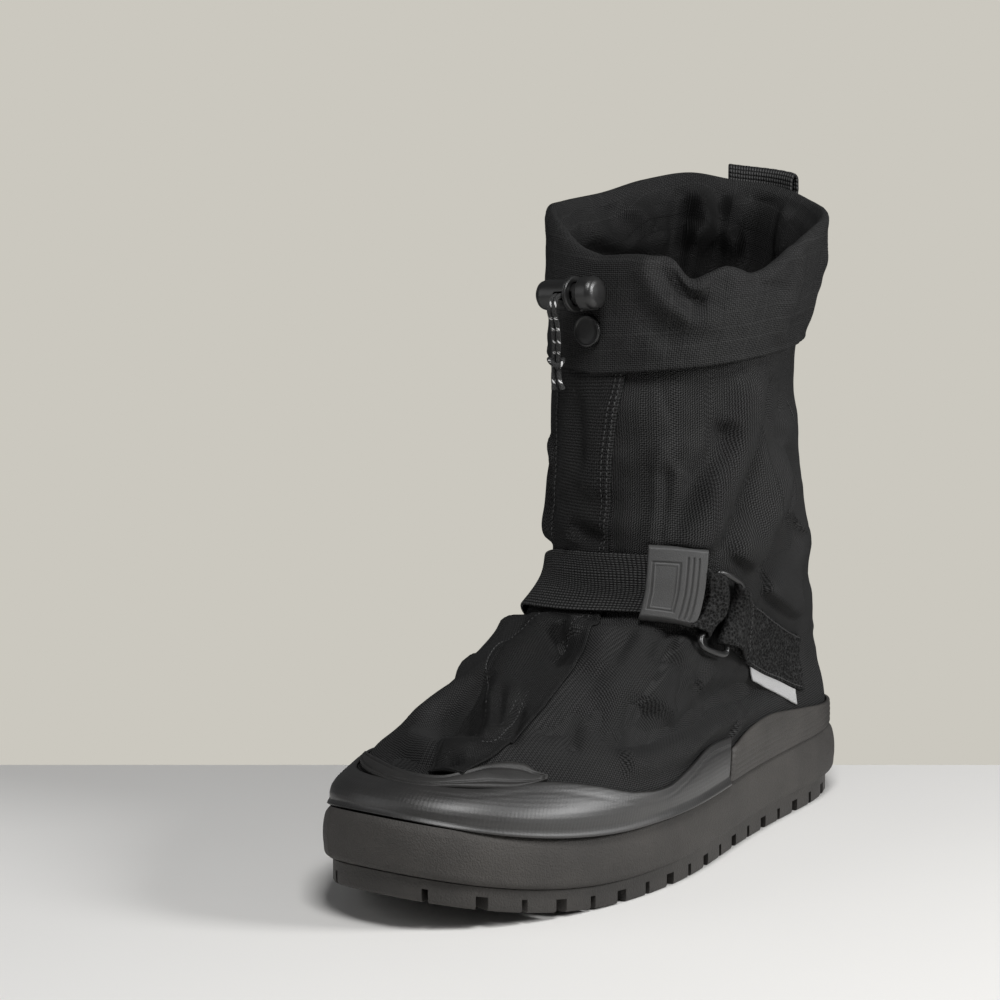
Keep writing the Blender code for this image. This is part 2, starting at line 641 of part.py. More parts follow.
def make_strap_tab():
    """Moulded end piece of the strap: a thick pad with a framed field and three grooves"""
    along = np.array((0.0, 0.6, 2.0, 2.6, 5.9, 9.3, 12.6, 13.2, 14.4, 15.0, 16.4, 17.0, 18.4, 19.0,
                      20.4, 24.0))
    along = TAB_START + along / along[-1] * (TAB_END - TAB_START)
    across = np.array((-1.0, -0.96, -0.79, -0.74, 0.0, 0.74, 0.79, 0.96, 1.0)) * TAB_WIDTH / 2
    bottom = STRAP_LIFT + STRAP_THICKNESS + OVERLAY_GAP
    face = bottom + 3.2
    lift = np.full((len(along), len(across)), face)
    lift[3:7, 3:6] = face - 0.7
    for groove in (9, 11, 13):
        lift[groove, 1:-1] = face - 0.8
    lift[[0, -1], :] = face - 0.9
    lift[:, [0, -1]] = face - 0.9
    grid_along, grid_across = np.meshgrid(along, across, indexing="ij")
    loft_strips("strap_tab", on_strap(grid_along, grid_across, np.full(lift.shape, bottom)),
                on_strap(grid_along, grid_across, lift), "tab_rubber")


def make_strap_tail():
    """Narrow band from under the tab, round the ring's front bar and back"""
    turn_radius = RING_BAR / 2 + RING_CLEARANCE + STRAP_THICKNESS / 2
    low, high = RING_LIFT - turn_radius, RING_LIFT + turn_radius
    line = [(TAB_END + 0.8, high - 0.8)] + [(RING_FRONT - back, high) for back in (5.0, 2.0)]
    line += arc((RING_FRONT, RING_LIFT), turn_radius, 90, -90, 10)
    line += [(RING_FRONT - back, low) for back in (3.0, 7.0, 11.0)]
    line += [(TAB_END - 3.0, STRAP_LIFT + 0.6), (STRAP_END + 2.5, STRAP_LIFT + 0.7)]
    ribbon("strap_tail", line, STRAP_THICKNESS, TAIL_WIDTH / 2, "webbing", 6)


def make_ring():
    """Rectangular plastic ring that joins the tail to the anchor"""
    half_long, corner = RING_LENGTH / 2, 2.5
    straight = np.linspace(-half_long + corner, half_long - corner, 7)
    places = [(RING_FRONT, across) for across in straight]
    places += arc((RING_FRONT + corner, half_long - corner), corner, 150, 90, 2)
    places += arc((RING_BACK - corner, half_long - corner), corner, 90, 30, 2)
    places += [(RING_BACK, -across) for across in straight]
    places += arc((RING_BACK - corner, corner - half_long), corner, -30, -90, 2)
    places += arc((RING_FRONT + corner, corner - half_long), corner, -90, -150, 2)
    make_tube("ring", [on_strap(along, across, RING_LIFT) for along, across in places], RING_BAR, "plastic",
              closed=True)


def make_ring_anchor():
    """Piece that holds the ring: round its back bar, then down and back over the quarter"""
    turn_radius = RING_BAR / 2 + RING_CLEARANCE + STRAP_THICKNESS / 2
    low, high = OVERLAY_GAP + STRAP_THICKNESS / 2, RING_LIFT + turn_radius
    over, under = low + STRAP_THICKNESS + OVERLAY_GAP, RING_LIFT - turn_radius
    line = [(RING_BACK + back, over + (high - over) * (1.0 - float(smooth_step(3.0, 14.0, back))))
            for back in (17.0, 13.0, 9.0, 6.0, 3.0)]
    line += arc((RING_BACK, RING_LIFT), turn_radius, 90, 270, 10)
    line += [(RING_BACK + back, under + (low - under) * float(smooth_step(2.0, 14.0, back)))
             for back in (3.0, 6.0, 10.0, 14.0)]
    line += [(along, low) for along in np.linspace(RING_BACK + 20.0, ANCHOR_END, 8)]
    line = np.array(line)
    share = smooth_step(RING_BACK, ANCHOR_END, line[:, 0])
    half = (ANCHOR_WIDTH_FRONT + (ANCHOR_WIDTH_BACK - ANCHOR_WIDTH_FRONT) * share) / 2
    ribbon("ring_anchor", line, STRAP_THICKNESS, half, "webbing", 4)


def make_side_label():
    """Small plain cloth label below the anchor"""
    along, across = np.meshgrid(np.linspace(LABEL_START, LABEL_END, 5),
                                np.linspace(-19.5, -13.5, 3), indexing="ij")
    loft_strips("side_label", on_strap(along, across, np.full(along.shape, OVERLAY_GAP)),
                on_strap(along, across, np.full(along.shape, OVERLAY_GAP + 0.7)), "label")


def make_tube(name, points, diameter, material_name, closed=False, sides=2):
    """Round bar along points, closed to a ring or with filled ends"""
    curve = bpy.data.curves.new(name, "CURVE")
    curve.dimensions = "3D"
    curve.bevel_depth = diameter / 2 * MM
    curve.bevel_resolution = sides
    curve.use_fill_caps = not closed
    spline = curve.splines.new("POLY")
    spline.points.add(len(points) - 1)
    for spot, place in zip(spline.points, points):
        spot.co = (*(np.asarray(place) * MM), 1.0)
    spline.use_cyclic_u = closed
    curve.materials.append(material(material_name))
    made = bpy.data.objects.new(name, curve)
    bpy.data.collections["overshoe"].objects.link(made)
    return made


def make_pull_loop():
    """Webbing loop sewn outside the back of the collar, its top above the rim"""
    seat = CUFF_GAP + 0.3 + STRAP_THICKNESS / 2
    levels = (240.0, 249.0, 258.0, 266.0, 273.0)
    middle = 0.53
    line = [(level, float(cuff_lift(middle, level)[0]) + seat) for level in levels]
    top = line[-1][1]
    line += [(279.0, top + 0.2), (283.0, top + 0.9), (284.6, top + 2.6), (283.6, top + 4.4),
             (279.0, top + 5.1)]
    line += [(level, float(cuff_lift(middle, level)[0]) + seat + apart)
             for level, apart in ((272.0, 5.2), (264.0, 4.4), (256.0, 3.0), (247.0, 2.0), (240.0, 1.9))]
    line = np.array(line)
    run = np.gradient(line, axis=0)
    run /= np.linalg.norm(run, axis=1, keepdims=True)
    offset = np.column_stack((-run[:, 1], run[:, 0])) * STRAP_THICKNESS / 2
    turns = np.linspace(middle - 0.043, middle + 0.043, 7)[None, :]
    grids = []
    for sign in (-1, 1):
        edge = line + sign * offset
        grids.append(on_upper(turns + 0 * edge[:, 0:1], edge[:, 0:1] + 0 * turns, edge[:, 1:2] + 0 * turns))
    loft_strips("pull_loop", grids[0], grids[1], "webbing")


def turned(name, profile, material_name, segments=24):
    """Solid of revolution about its own X axis from (x, radius) places, first and last on the axis"""
    bore = profile[0][1] > 0
    steps = np.arange(segments) * 2 * math.pi / segments
    rings = [[(x, r * math.cos(a), r * math.sin(a)) for a in steps] for x, r in profile]
    rings = np.array(rings)
    count = len(profile)
    faces = []
    for row in range(count if bore else count - 1):
        this, following = row * segments, ((row + 1) % count) * segments
        for step in range(segments):
            nearby = (step + 1) % segments
            faces.append([this + step, this + nearby, following + nearby, following + step])
    if not bore:
        faces.append(list(range(segments)))
        faces.append([(count - 1) * segments + k for k in range(segments)])
    return add_mesh(name, rings.reshape(-1, 3), faces, material_name)


def lock_matrix():
    """Place of the cord lock: its axis along +X, with the plunger's end a little higher"""
    return Matrix.Translation(Vector(LOCK_CENTRE) * MM) @ Matrix.Rotation(-LOCK_TILT, 4, "Y")


def make_cord_lock():
    """Barrel with a bore from one end, and the sprung plunger in it; the cord goes across both"""
    half = LOCK_LENGTH / 2
    bore = LOCK_RADIUS - LOCK_WALL
    barrel = turned("lock_barrel", (
        (-half, 4.6), (-half + 1.2, LOCK_RADIUS - 0.5), (-half + 3.0, LOCK_RADIUS), (half - 2.4, LOCK_RADIUS),
        (half - 2.0, LOCK_RADIUS + 1.1), (half - 0.4, LOCK_RADIUS + 1.2), (half, LOCK_RADIUS + 0.8),
        (half, bore), (half - 1.0, bore), (-half + 3.0, bore), (-half + 2.2, 3.0), (-half, 3.0)), "plastic")
    cutter = box("lock_slot", (half - SLOT_FROM_MOUTH, 0.0, 0.0),
                 (SLOT_LENGTH, 30.0, SLOT_HEIGHT), lock_matrix())
    barrel.matrix_world = lock_matrix()
    cut(barrel, cutter)
    stem = bore - 0.35
    end = half + 3.8
    plunger = turned("lock_plunger", (
        (-half + 6.6, stem - 1.0), (-half + 7.2, stem), (end, stem), (end, HEAD_RADIUS - 0.6),
        (end + 0.6, HEAD_RADIUS), (end + 3.6, HEAD_RADIUS), (end + 6.2, HEAD_RADIUS - 1.3),
        (end + 7.8, HEAD_RADIUS - 3.6), (end + 8.3, 1.6)), "plastic")
    plunger.matrix_world = lock_matrix()
    centre = half - SLOT_FROM_MOUTH + PLUNGER_TRAVEL / 2
    slot = box("plunger_slot", (centre, 0.0, 0.0), (SLOT_LENGTH + PLUNGER_TRAVEL, 30.0, SLOT_HEIGHT),
               lock_matrix())
    cut(plunger, slot)


def box(name, centre, size, matrix):
    """Hidden block for a cut, placed in the frame of what it cuts"""
    signs = ((-1, -1), (1, -1), (1, 1), (-1, 1))
    vertices = [tuple(centre[k] + half * size[k] / 2 for k, half in enumerate((a, b, c)))
                for c in (-1, 1) for a, b in signs]
    made = add_mesh(name, vertices, BOX_FACES, "plastic", "cutters")
    made.matrix_world = matrix
    return hide_cutter(made)


def make_disc(name, turn, level, profile):
    """Turned piece lying flat on the cuff, its axis along the outward normal"""
    place = on_upper(turn, level, float(cuff_lift(turn, level)[0]) + CUFF_GAP)
    normal = read_table(NORMALS, turn, level)
    made = turned(name, profile, "plastic")
    frame = Vector((1, 0, 0)).rotation_difference(Vector(normal)).to_matrix().to_4x4()
    made.matrix_world = Matrix.Translation(Vector(place) * MM) @ frame


def route(points, spacing):
    """Even points on a smooth curve through the points of a route"""
    rows = np.array(points, dtype=float)
    steps = np.linalg.norm(np.diff(rows, axis=0), axis=1)
    places = np.concatenate(([0.0], np.cumsum(steps)))
    count = max(4, int(round(places[-1] / spacing)))
    return smooth_rows(np.column_stack((places, rows)), np.linspace(0.0, places[-1], count + 1))


# Routes of the two cord strands, in millimetres: out of the eyelet, across the lock,
# down to the knot
STRAND_ROUTES = {
    "drawcord_a": ((-10.9, -113.9, 243.3), (-10.7, -117.0, 243.3), (-10.7, -123.5, 243.3),
                   (-10.8, -128.6, 242.9), (-11.7, -130.3, 239.2), (-13.9, -125.5, 231.0),
                   (-16.7, -120.6, 222.0), (-19.2, -117.4, 216.6)),
    "drawcord_b": ((-8.1, -113.9, 243.5), (-8.3, -117.0, 243.5), (-8.3, -123.5, 243.5),
                   (-8.4, -128.6, 243.1), (-9.3, -130.2, 239.4), (-11.5, -125.3, 231.0),
                   (-14.3, -120.5, 222.0), (-16.8, -117.4, 216.6)),
}
# Routes of the two short ends below the knot
END_ROUTES = {
    "cord_end_a": ((-19.4, -117.3, 210.4), (-19.6, -117.3, 207.0), (-19.6, -116.8, 201.6)),
    "cord_end_b": ((-16.6, -117.3, 210.4), (-16.2, -117.6, 207.0), (-14.6, -117.2, 202.0)),
}
KNOT_CENTRE = (-18.0, -117.2, 213.4)
KNOT_RADII = (4.8, 2.9, 2.5)


def make_cord():
    """Two strands, the knot that joins them and its two short ends"""
    for name, points in STRAND_ROUTES.items():
        make_tube(name, route(points, 2.2 * CORD_DIAMETER), CORD_DIAMETER, "cord")
    for name, points in END_ROUTES.items():
        make_tube(name, route(points, 2.2 * CORD_DIAMETER), CORD_DIAMETER, "cord")
    work = bmesh.new()
    bmesh.ops.create_uvsphere(work, u_segments=16, v_segments=8, radius=1.0)
    mesh = bpy.data.meshes.new("cord_knot")
    work.to_mesh(mesh)
    work.free()
    mesh.transform(Matrix.Diagonal((*(radius * MM for radius in KNOT_RADII), 1.0)))
    mesh.materials.append(material("cord"))
    knot = bpy.data.objects.new("cord_knot", mesh)
    knot.location = Vector(KNOT_CENTRE) * MM
    bpy.data.collections["overshoe"].objects.link(knot)


def main():
    for old in list(bpy.data.objects):
        bpy.data.objects.remove(old)
    for name in ("overshoe", "cutters"):
        group = bpy.data.collections.new(name)
        bpy.context.scene.collection.children.link(group)
    make_outsole()
    make_midsole()
    make_insole()
    make_upper()
    make_rand()
    make_heel_counter()
    make_toe_patch()
    make_front_flap()
    make_cuff()
    make_pull_loop()
    make_strap()
    make_strap_tab()
    make_strap_tail()
    make_ring()
    make_ring_anchor()
    make_side_label()
    make_disc("eyelet", -0.0215, 249.5, ((0.0, 4.6), (0.5, 5.2), (1.0, 4.6), (1.0, 2.6), (0.0, 2.6)))
    make_disc("snap", -0.013, 231.5, ((0.0, 6.6), (1.0, 6.8), (1.6, 6.2), (2.0, 1.0)))
    make_cord_lock()
    make_cord()


main()
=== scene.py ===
import math
from functools import partial

import bmesh
import bpy
import numpy as np
from mathutils import Matrix, Vector


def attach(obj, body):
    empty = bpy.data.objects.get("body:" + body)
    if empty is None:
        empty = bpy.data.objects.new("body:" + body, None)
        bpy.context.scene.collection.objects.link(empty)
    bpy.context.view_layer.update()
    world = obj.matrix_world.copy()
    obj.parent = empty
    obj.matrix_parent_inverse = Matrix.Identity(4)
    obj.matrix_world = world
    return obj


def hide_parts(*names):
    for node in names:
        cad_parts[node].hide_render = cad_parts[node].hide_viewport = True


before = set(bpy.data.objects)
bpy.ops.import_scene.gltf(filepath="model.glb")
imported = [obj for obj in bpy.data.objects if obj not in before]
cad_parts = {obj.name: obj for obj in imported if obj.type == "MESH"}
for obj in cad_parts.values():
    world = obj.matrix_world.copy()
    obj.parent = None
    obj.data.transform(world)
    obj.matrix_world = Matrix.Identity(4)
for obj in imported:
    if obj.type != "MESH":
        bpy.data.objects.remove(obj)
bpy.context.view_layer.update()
mm = 0.001
print("stage: frame loaded")

# Camera, at the photograph's angle and distance
cameraView = {
    "azimuth": 36.0,
    "elevation": 10.1,
    "distance": 1.5,
    "target": (0.0, -0.105, 0.150),
    "lens": 126.04,
    "shiftX": -0.103,
    "shiftY": 0.009,
}


def makeCamera(view):
    # camera on a line back from the target, at the azimuth and elevation given
    turned, raised = math.radians(view["azimuth"]), math.radians(view["elevation"])
    back = Vector((math.sin(turned) * math.cos(raised), -math.cos(turned) * math.cos(raised),
                   math.sin(raised)))
    data = bpy.data.cameras.new("photoCamera")
    data.lens = view["lens"]
    data.sensor_width = 36.0
    data.shift_x, data.shift_y = view["shiftX"], view["shiftY"]
    data.clip_start, data.clip_end = 0.05, 30.0
    camera = bpy.data.objects.new("photoCamera", data)
    camera.location = Vector(view["target"]) + back * view["distance"]
    camera.rotation_mode = "QUATERNION"
    camera.rotation_quaternion = (-back).to_track_quat("-Z", "Y")
    bpy.context.scene.collection.objects.link(camera)
    bpy.context.scene.camera = camera


makeCamera(cameraView)

# Columns: level, front y, widest y, back y, outer, inner and heel half widths, roundness
# of the front and the back, swing of the toe, share of the sole's waist
sectionRows = (
    (32, -251, -150, 49, 60, 56.5, 40.5, 2.3, 3.2, 6, 1),
    (42, -247.5, -150, 50, 60.5, 57, 41.5, 2.3, 3, 6, 1),
    (52, -236, -150, 49.5, 57.5, 54.5, 41.5, 2.2, 2.8, 6, 0.9),
    (62, -218, -146, 48.3, 53, 50.5, 41, 2.1, 2.6, 6.5, 0.8),
    (72, -199, -138, 46, 48, 46, 41, 2, 2.4, 7, 0.6),
    (82, -176, -122, 44.5, 44, 43, 42, 1.9, 2.3, 7.5, 0.4),
    (92, -149, -104, 43, 41.5, 41, 43, 1.9, 2.2, 8, 0.2),
    (102, -122, -86, 40.5, 41, 41, 44.5, 2, 2.1, 7, 0),
    (112, -110, -72, 36, 43.5, 43.5, 46, 2, 2.1, 4, 0),
    (124, -108, -62, 30, 47, 47, 48, 2, 2.1, 1, 0),
    (140, -109, -56, 23.5, 49.5, 49.5, 49, 2, 2, 0, 0),
    (175, -110, -54, 13.5, 50.5, 50.5, 50, 2, 2, 0, 0),
    (217, -108, -52, 11.5, 50.5, 50.5, 51, 2.1, 2.1, 0, 0),
    (245, -107, -52, 22, 52, 52, 52, 2.1, 2.1, 0, 0),
    (275, -106, -50, 33, 54, 54, 54, 2.1, 2.1, 0, 0),
)
rimRows = (
    (0, 257), (0.06, 258), (0.083, 256), (0.1, 248.5), (0.118, 250), (0.142, 253),
    (0.158, 251.5), (0.172, 249.5), (0.19, 250.5), (0.21, 253.5), (0.25, 259), (0.3, 264), (0.38, 268),
    (0.45, 271), (0.5, 276), (0.56, 279), (0.61, 282.5), (0.67, 280),
    (0.73, 276), (0.8, 274), (0.88, 273), (0.925, 268.5), (0.97, 260),
    (1, 257),
)
sole = {
    "toeY": -261.0, "heelY": 51.0, "ballY": -148.68, "width": 122.0, "heelWidth": 87.0,
    "toeSwing": 6.0, "toeSpring": 16.4, "springStart": -161.0,
    "waistY": -67.5, "waistSpread": 46.8, "waistOuter": 2.0, "waistInner": 5.0,
}
upperBottom, shaftLevel, rimLevel, springFade = 32.0, 217.0, 275.0, 55.0


def smoothStep(start, end, value):
    # 0 before start, 1 after end, 3t^2 - 2t^3 between
    part = np.clip((np.asarray(value, dtype=float) - start) / (end - start), 0.0, 1.0)
    return part * part * (3.0 - 2.0 * part)


def hump(value, middle, width):
    # exp(-(distance from the middle / width)^2)
    return np.exp(-((value - middle) / width) ** 2)


def runLength(path):
    # length along a line of places, 0 at its start
    return np.concatenate(([0.0], np.cumsum(np.linalg.norm(np.diff(path, axis=0), axis=1))))


def readRows(at, length, rows):
    # the rows of numbers read at given lengths, straight between them
    return np.stack([np.interp(at, length, rows[:, k]) for k in range(rows.shape[1])], axis=1)


def smoothRows(rows, places):
    # cubic curves through a table's rows, with the slopes of its neighbours
    table = np.array(rows, dtype=float)
    knots, values = table[:, 0], table[:, 1:]
    slopes = np.gradient(values, knots, axis=0)
    places = np.atleast_1d(np.asarray(places, dtype=float))
    index = np.clip(np.searchsorted(knots, places, side="right") - 1, 0, len(knots) - 2)
    span = (knots[index + 1] - knots[index])[:, None]
    part = np.clip((places - knots[index])[:, None] / span, 0.0, 1.0)
    start, end = values[index], values[index + 1]
    pullStart, pullEnd = slopes[index] * span, slopes[index + 1] * span
    return (start * (1 + 2 * part) * (1 - part) ** 2 + pullStart * part * (1 - part) ** 2
            + end * part ** 2 * (3 - 2 * part) + pullEnd * part ** 2 * (part - 1))


def toeSpring(y):
    # rise above the floor, with the square of the way from the ball to the toe
    part = np.clip((sole["springStart"] - y) / (sole["springStart"] - sole["toeY"]), 0.0, 1.0)
    return sole["toeSpring"] * part ** 2


def halfOutline(section, side):
    # one side of a section: two rounded ends, x = cos^(2/n), on a body that tapers
    front, widest, back, outer, inner, heel, frontRound, backRound, swing, waist = section
    width = outer if side > 0 else inner
    cutIn = sole["waistOuter"] if side > 0 else sole["waistInner"]
    angle = np.linspace(0.0, np.pi / 2, 200)
    frontY = widest + (front - widest) * np.cos(angle) ** (2 / frontRound)
    backY = widest + (back - widest) * np.sin(angle) ** (2 / backRound)
    y = np.concatenate((frontY, backY[1:]))
    ends = np.concatenate((np.sin(angle) ** (2 / frontRound),
                           (np.cos(angle) ** (2 / backRound))[1:]))
    taper = smoothStep(widest, back - 0.25 * (back - widest), y)
    body = width * (1 - taper) + heel * taper
    body = body - waist * cutIn * hump(y, sole["waistY"], sole["waistSpread"])
    x = side * body * ends - swing * smoothStep(widest + 40.0, front, y)
    x[-1] = 0.0
    return x, y


def outlineAt(section, turns):
    # points of a section at the given turns, by the share of each side's length
    turns = np.asarray(turns, dtype=float) % 1.0
    points = np.zeros((len(turns), 2))
    for side in (1, -1):
        x, y = halfOutline(section, side)
        length = np.concatenate(([0.0], np.cumsum(np.hypot(np.diff(x), np.diff(y)))))
        length /= length[-1]
        chosen = turns <= 0.5 if side > 0 else turns > 0.5
        way = turns[chosen] * 2 if side > 0 else (1.0 - turns[chosen]) * 2
        points[chosen, 0] = np.interp(way, length, x)
        points[chosen, 1] = np.interp(way, length, y)
    return points


def buildSurface():
    # dense table of the upper's outer face and its normals, by level and turn
    levels = np.arange(upperBottom, 290.5, 1.0)
    turns = np.linspace(0.0, 1.0, 721)
    sections = smoothRows(sectionRows, np.minimum(levels, rimLevel))
    rim = smoothRows(rimRows, turns)[:, 0]
    points = np.zeros((len(levels), len(turns), 3))
    for row, (level, section) in enumerate(zip(levels, sections)):
        plan = outlineAt(section, turns[:-1])
        plan = np.vstack((plan, plan[:1]))
        fade = 1.0 - np.clip((level - upperBottom) / springFade, 0.0, 1.0)
        height = level + toeSpring(plan[:, 1]) * fade
        if level > shaftLevel:
            share = min((level - shaftLevel) / (rimLevel - shaftLevel), 1.0)
            height = shaftLevel + share * (rim - shaftLevel) + max(level - rimLevel, 0.0)
        points[row, :, 0:2] = plan
        points[row, :, 2] = height
    along = np.gradient(points, axis=0)
    wrapped = np.concatenate((points[:, -2:-1], points, points[:, 1:2]), axis=1)
    normals = np.cross(wrapped[:, 2:] - wrapped[:, :-2], along)
    normals /= np.linalg.norm(normals, axis=2, keepdims=True)
    return points, normals


surfacePoints, surfaceNormals = buildSurface()


def readTable(table, turn, level):
    # value of a surface table between its rows and columns
    across = (np.asarray(turn, dtype=float) % 1.0) * (table.shape[1] - 1)
    down = np.clip(np.asarray(level, dtype=float) - upperBottom, 0.0, table.shape[0] - 1.001)
    across, down = np.broadcast_arrays(across, down)
    column = np.minimum(across.astype(int), table.shape[1] - 2)
    row = down.astype(int)
    right, up = (across - column)[..., None], (down - row)[..., None]
    lower = table[row, column] * (1 - right) + table[row, column + 1] * right
    upper = table[row + 1, column] * (1 - right) + table[row + 1, column + 1] * right
    return lower * (1 - up) + upper * up


def normalAt(turn, level):
    # outward direction, 1 long
    normal = readTable(surfaceNormals, turn, level)
    return normal / np.linalg.norm(normal, axis=-1, keepdims=True)


def onUpper(turn, level, lift=0.0):
    # place on the upper, lifted outwards from its face
    return (readTable(surfacePoints, turn, level)
            + normalAt(turn, level) * np.asarray(lift, dtype=float)[..., None])


def girthPlace(turn, level):
    # length round the section from the ankle's widest line, so that a weave stays upright
    rows = surfacePoints[:, :, :2]
    steps = np.linalg.norm(np.diff(rows, axis=1), axis=2)
    length = np.concatenate((np.zeros((len(rows), 1)), np.cumsum(steps, axis=1)), axis=1)
    half, ankleY = (rows.shape[1] - 1) // 2, -52.0
    outer = np.array([np.interp(ankleY, rows[k, :half, 1], length[k, :half]) for k in range(len(rows))])
    inner = np.array([np.interp(-ankleY, -rows[k, half:, 1], length[k, half:]) for k in range(len(rows))])
    shifted = length - np.where(np.arange(rows.shape[1]) <= half, outer[:, None], inner[:, None])
    return readTable(shifted[:, :, None], turn, level)[..., 0]


# Meshes from grids of points

def gridQuads(rows, columns, wrapRows=False, wrapColumns=False):
    # corner numbers of each cell, first along the row and then up to the next one
    r = np.arange(rows if wrapRows else rows - 1)[:, None]
    c = np.arange(columns if wrapColumns else columns - 1)[None, :]
    nextRow, nextColumn = (r + 1) % rows, (c + 1) % columns
    corners = (r * columns + c, r * columns + nextColumn,
               nextRow * columns + nextColumn, nextRow * columns + c)
    return np.stack(np.broadcast_arrays(*corners), axis=-1).reshape(-1, 4)


def cellUv(uv):
    # the uv grid has one row and column more where the cells wrap round
    corners = (uv[:-1, :-1], uv[:-1, 1:], uv[1:, 1:], uv[1:, :-1])
    return np.stack(corners, axis=2).reshape(-1, 2)


def meshObject(name, points, quads, uv=None, extraFaces=(), sharp=None, tidy=False):
    # points in mm, quads as an array of corners, uv one pair for each quad corner
    mesh = bpy.data.meshes.new(name)
    points = np.asarray(points, dtype=float).reshape(-1, 3)
    faces = [tuple(face) for face in quads.tolist()] + [tuple(face) for face in extraFaces]
    mesh.from_pydata((points * mm).tolist(), [], faces)
    if uv is not None:
        layer = mesh.uv_layers.new(name="cloth")
        full = np.zeros((len(mesh.loops), 2))
        full[:len(uv)] = uv
        layer.data.foreach_set("uv", full.ravel())
    if tidy:
        work = bmesh.new()
        work.from_mesh(mesh)
        bmesh.ops.remove_doubles(work, verts=work.verts, dist=1e-7)
        bmesh.ops.recalc_face_normals(work, faces=work.faces)
        work.to_mesh(mesh)
        work.free()
    mesh.shade_smooth()
    if sharp is not None:
        mesh.set_sharp_from_angle(angle=math.radians(sharp))
    made = bpy.data.objects.new(name, mesh)
    bpy.context.scene.collection.objects.link(made)
    return made


def gridUv(along, across):
    # uv grid in metres from two measures in mm
    return np.stack(np.broadcast_arrays(along * mm, across * mm), axis=-1)


def ringUv(grid, across):
    # uv of a closed ring of cloth: across as given, then the length over its rows
    steps = np.linalg.norm(np.diff(np.concatenate((grid, grid[:1])), axis=0), axis=2)
    path = np.concatenate((np.zeros((1, grid.shape[1])), np.cumsum(steps, axis=0)))
    path = np.concatenate((path, path[:, :1]), axis=1) * mm
    return np.stack((np.broadcast_to(across, path.shape), path), axis=-1)


def sheetObject(name, top, bottom, uv):
    # two grids, one over the other, which share the points of their edge
    rows, columns = top.shape[:2]
    index = np.arange(rows * columns).reshape(rows, columns)
    under = index + rows * columns
    under[[0, -1], :] = index[[0, -1], :]
    under[:, [0, -1]] = index[:, [0, -1]]
    quads = gridQuads(rows, columns)
    lower = under.ravel()[quads][:, ::-1]
    points = np.concatenate((top.reshape(-1, 3), bottom.reshape(-1, 3)))
    used, faces = np.unique(np.concatenate((quads, lower)), return_inverse=True)
    upperUv = cellUv(uv)
    both = np.concatenate((upperUv, upperUv.reshape(-1, 4, 2)[:, ::-1].reshape(-1, 2)))
    return meshObject(name, points[used], faces.reshape(-1, 4), both, tidy=True)


def edgeSteps(length, count, radius):
    # places from 0 to length, closer together at both ends, and the rise of a rounded edge
    near = radius * np.array((0.0, 0.08, 0.3, 0.62, 1.0))
    middle = np.linspace(radius, length - radius, count)[1:-1]
    places = np.concatenate((near, middle, length - near[::-1]))
    depth = np.minimum(places, length - places) / radius
    rise = np.sqrt(np.clip(1.0 - (1.0 - np.clip(depth, 0.0, 1.0)) ** 2, 0.0, 1.0))
    return places, rise


def tubeGrid(path, radius, sides):
    # circles square to a path, their frame carried along without twist
    path = np.asarray(path, dtype=float)
    tangent = np.gradient(path, axis=0)
    tangent /= np.linalg.norm(tangent, axis=1, keepdims=True)
    side = np.cross(tangent[0], (0.3, 0.2, 1.0))
    frames = []
    for direction in tangent:
        side = side - direction * side.dot(direction)
        side /= np.linalg.norm(side)
        frames.append((side, np.cross(direction, side)))
    frames = np.array(frames)
    angle = np.arange(sides) * 2 * np.pi / sides
    radius = np.broadcast_to(np.asarray(radius, dtype=float), (len(path), sides))
    circle = (frames[:, None, 0] * np.cos(angle)[None, :, None]
              + frames[:, None, 1] * np.sin(angle)[None, :, None])
    return path[:, None, :] + circle * radius[..., None]


def tubeUv(path, around, sides):
    # first number along the path and second round it, in metres
    length = runLength(path) * mm
    turns = np.linspace(0.0, 1.0, sides + 1) * around * mm
    return np.stack(np.broadcast_arrays(length[:, None], turns[None, :]), axis=-1)


def cappedTube(name, path, radius, sides, around):
    # tube with flat ends; around is its girth in mm, for the uv
    quads = gridQuads(len(path), sides, wrapColumns=True)
    last = (len(path) - 1) * sides
    caps = [list(range(sides))[::-1], [last + k for k in range(sides)]]
    uv = cellUv(tubeUv(path, around, sides))
    return meshObject(name, tubeGrid(path, radius, sides), quads, uv, caps, tidy=True)


def evenRoute(points, spacing):
    # even places on a smooth curve through the given ones
    rows = np.array(points, dtype=float)
    places = runLength(rows)
    fine = smoothRows(np.column_stack((places, rows)), np.linspace(0.0, places[-1], 600))
    length = runLength(fine)
    wanted = np.linspace(0.0, length[-1], max(4, int(round(length[-1] / spacing))) + 1)
    return readRows(wanted, length, fine)


def dress(piece, material, body="overshoe", nodes=()):
    # finish, body and the solids that a piece stands for
    piece.data.materials.clear()
    piece.data.materials.append(material)
    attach(piece, body)
    if nodes:
        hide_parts(*nodes)
    return piece


# Shader groups and materials

def addNode(tree, kind, **settings):
    # a node of the kind named, with its settings
    node = tree.nodes.new(kind)
    for name, value in settings.items():
        setattr(node, name, value)
    return node


def feed(tree, socket, value):
    # an input gets a link from another node, or a plain value
    if isinstance(value, bpy.types.NodeSocket):
        tree.links.new(value, socket)
    else:
        socket.default_value = value


def mathNode(tree, operation, *values, clamp=False):
    # a Math node whose inputs are links or numbers
    node = addNode(tree, "ShaderNodeMath", operation=operation, use_clamp=clamp)
    for socket, value in zip(node.inputs, values):
        feed(tree, socket, value)
    return node.outputs[0]


def mixColour(tree, factor, first, second):
    # the first colour at factor 0, the second at 1
    node = addNode(tree, "ShaderNodeMix", data_type="RGBA")
    for place, value in ((0, factor), (6, first), (7, second)):
        feed(tree, node.inputs[place], value)
    return node.outputs[2]


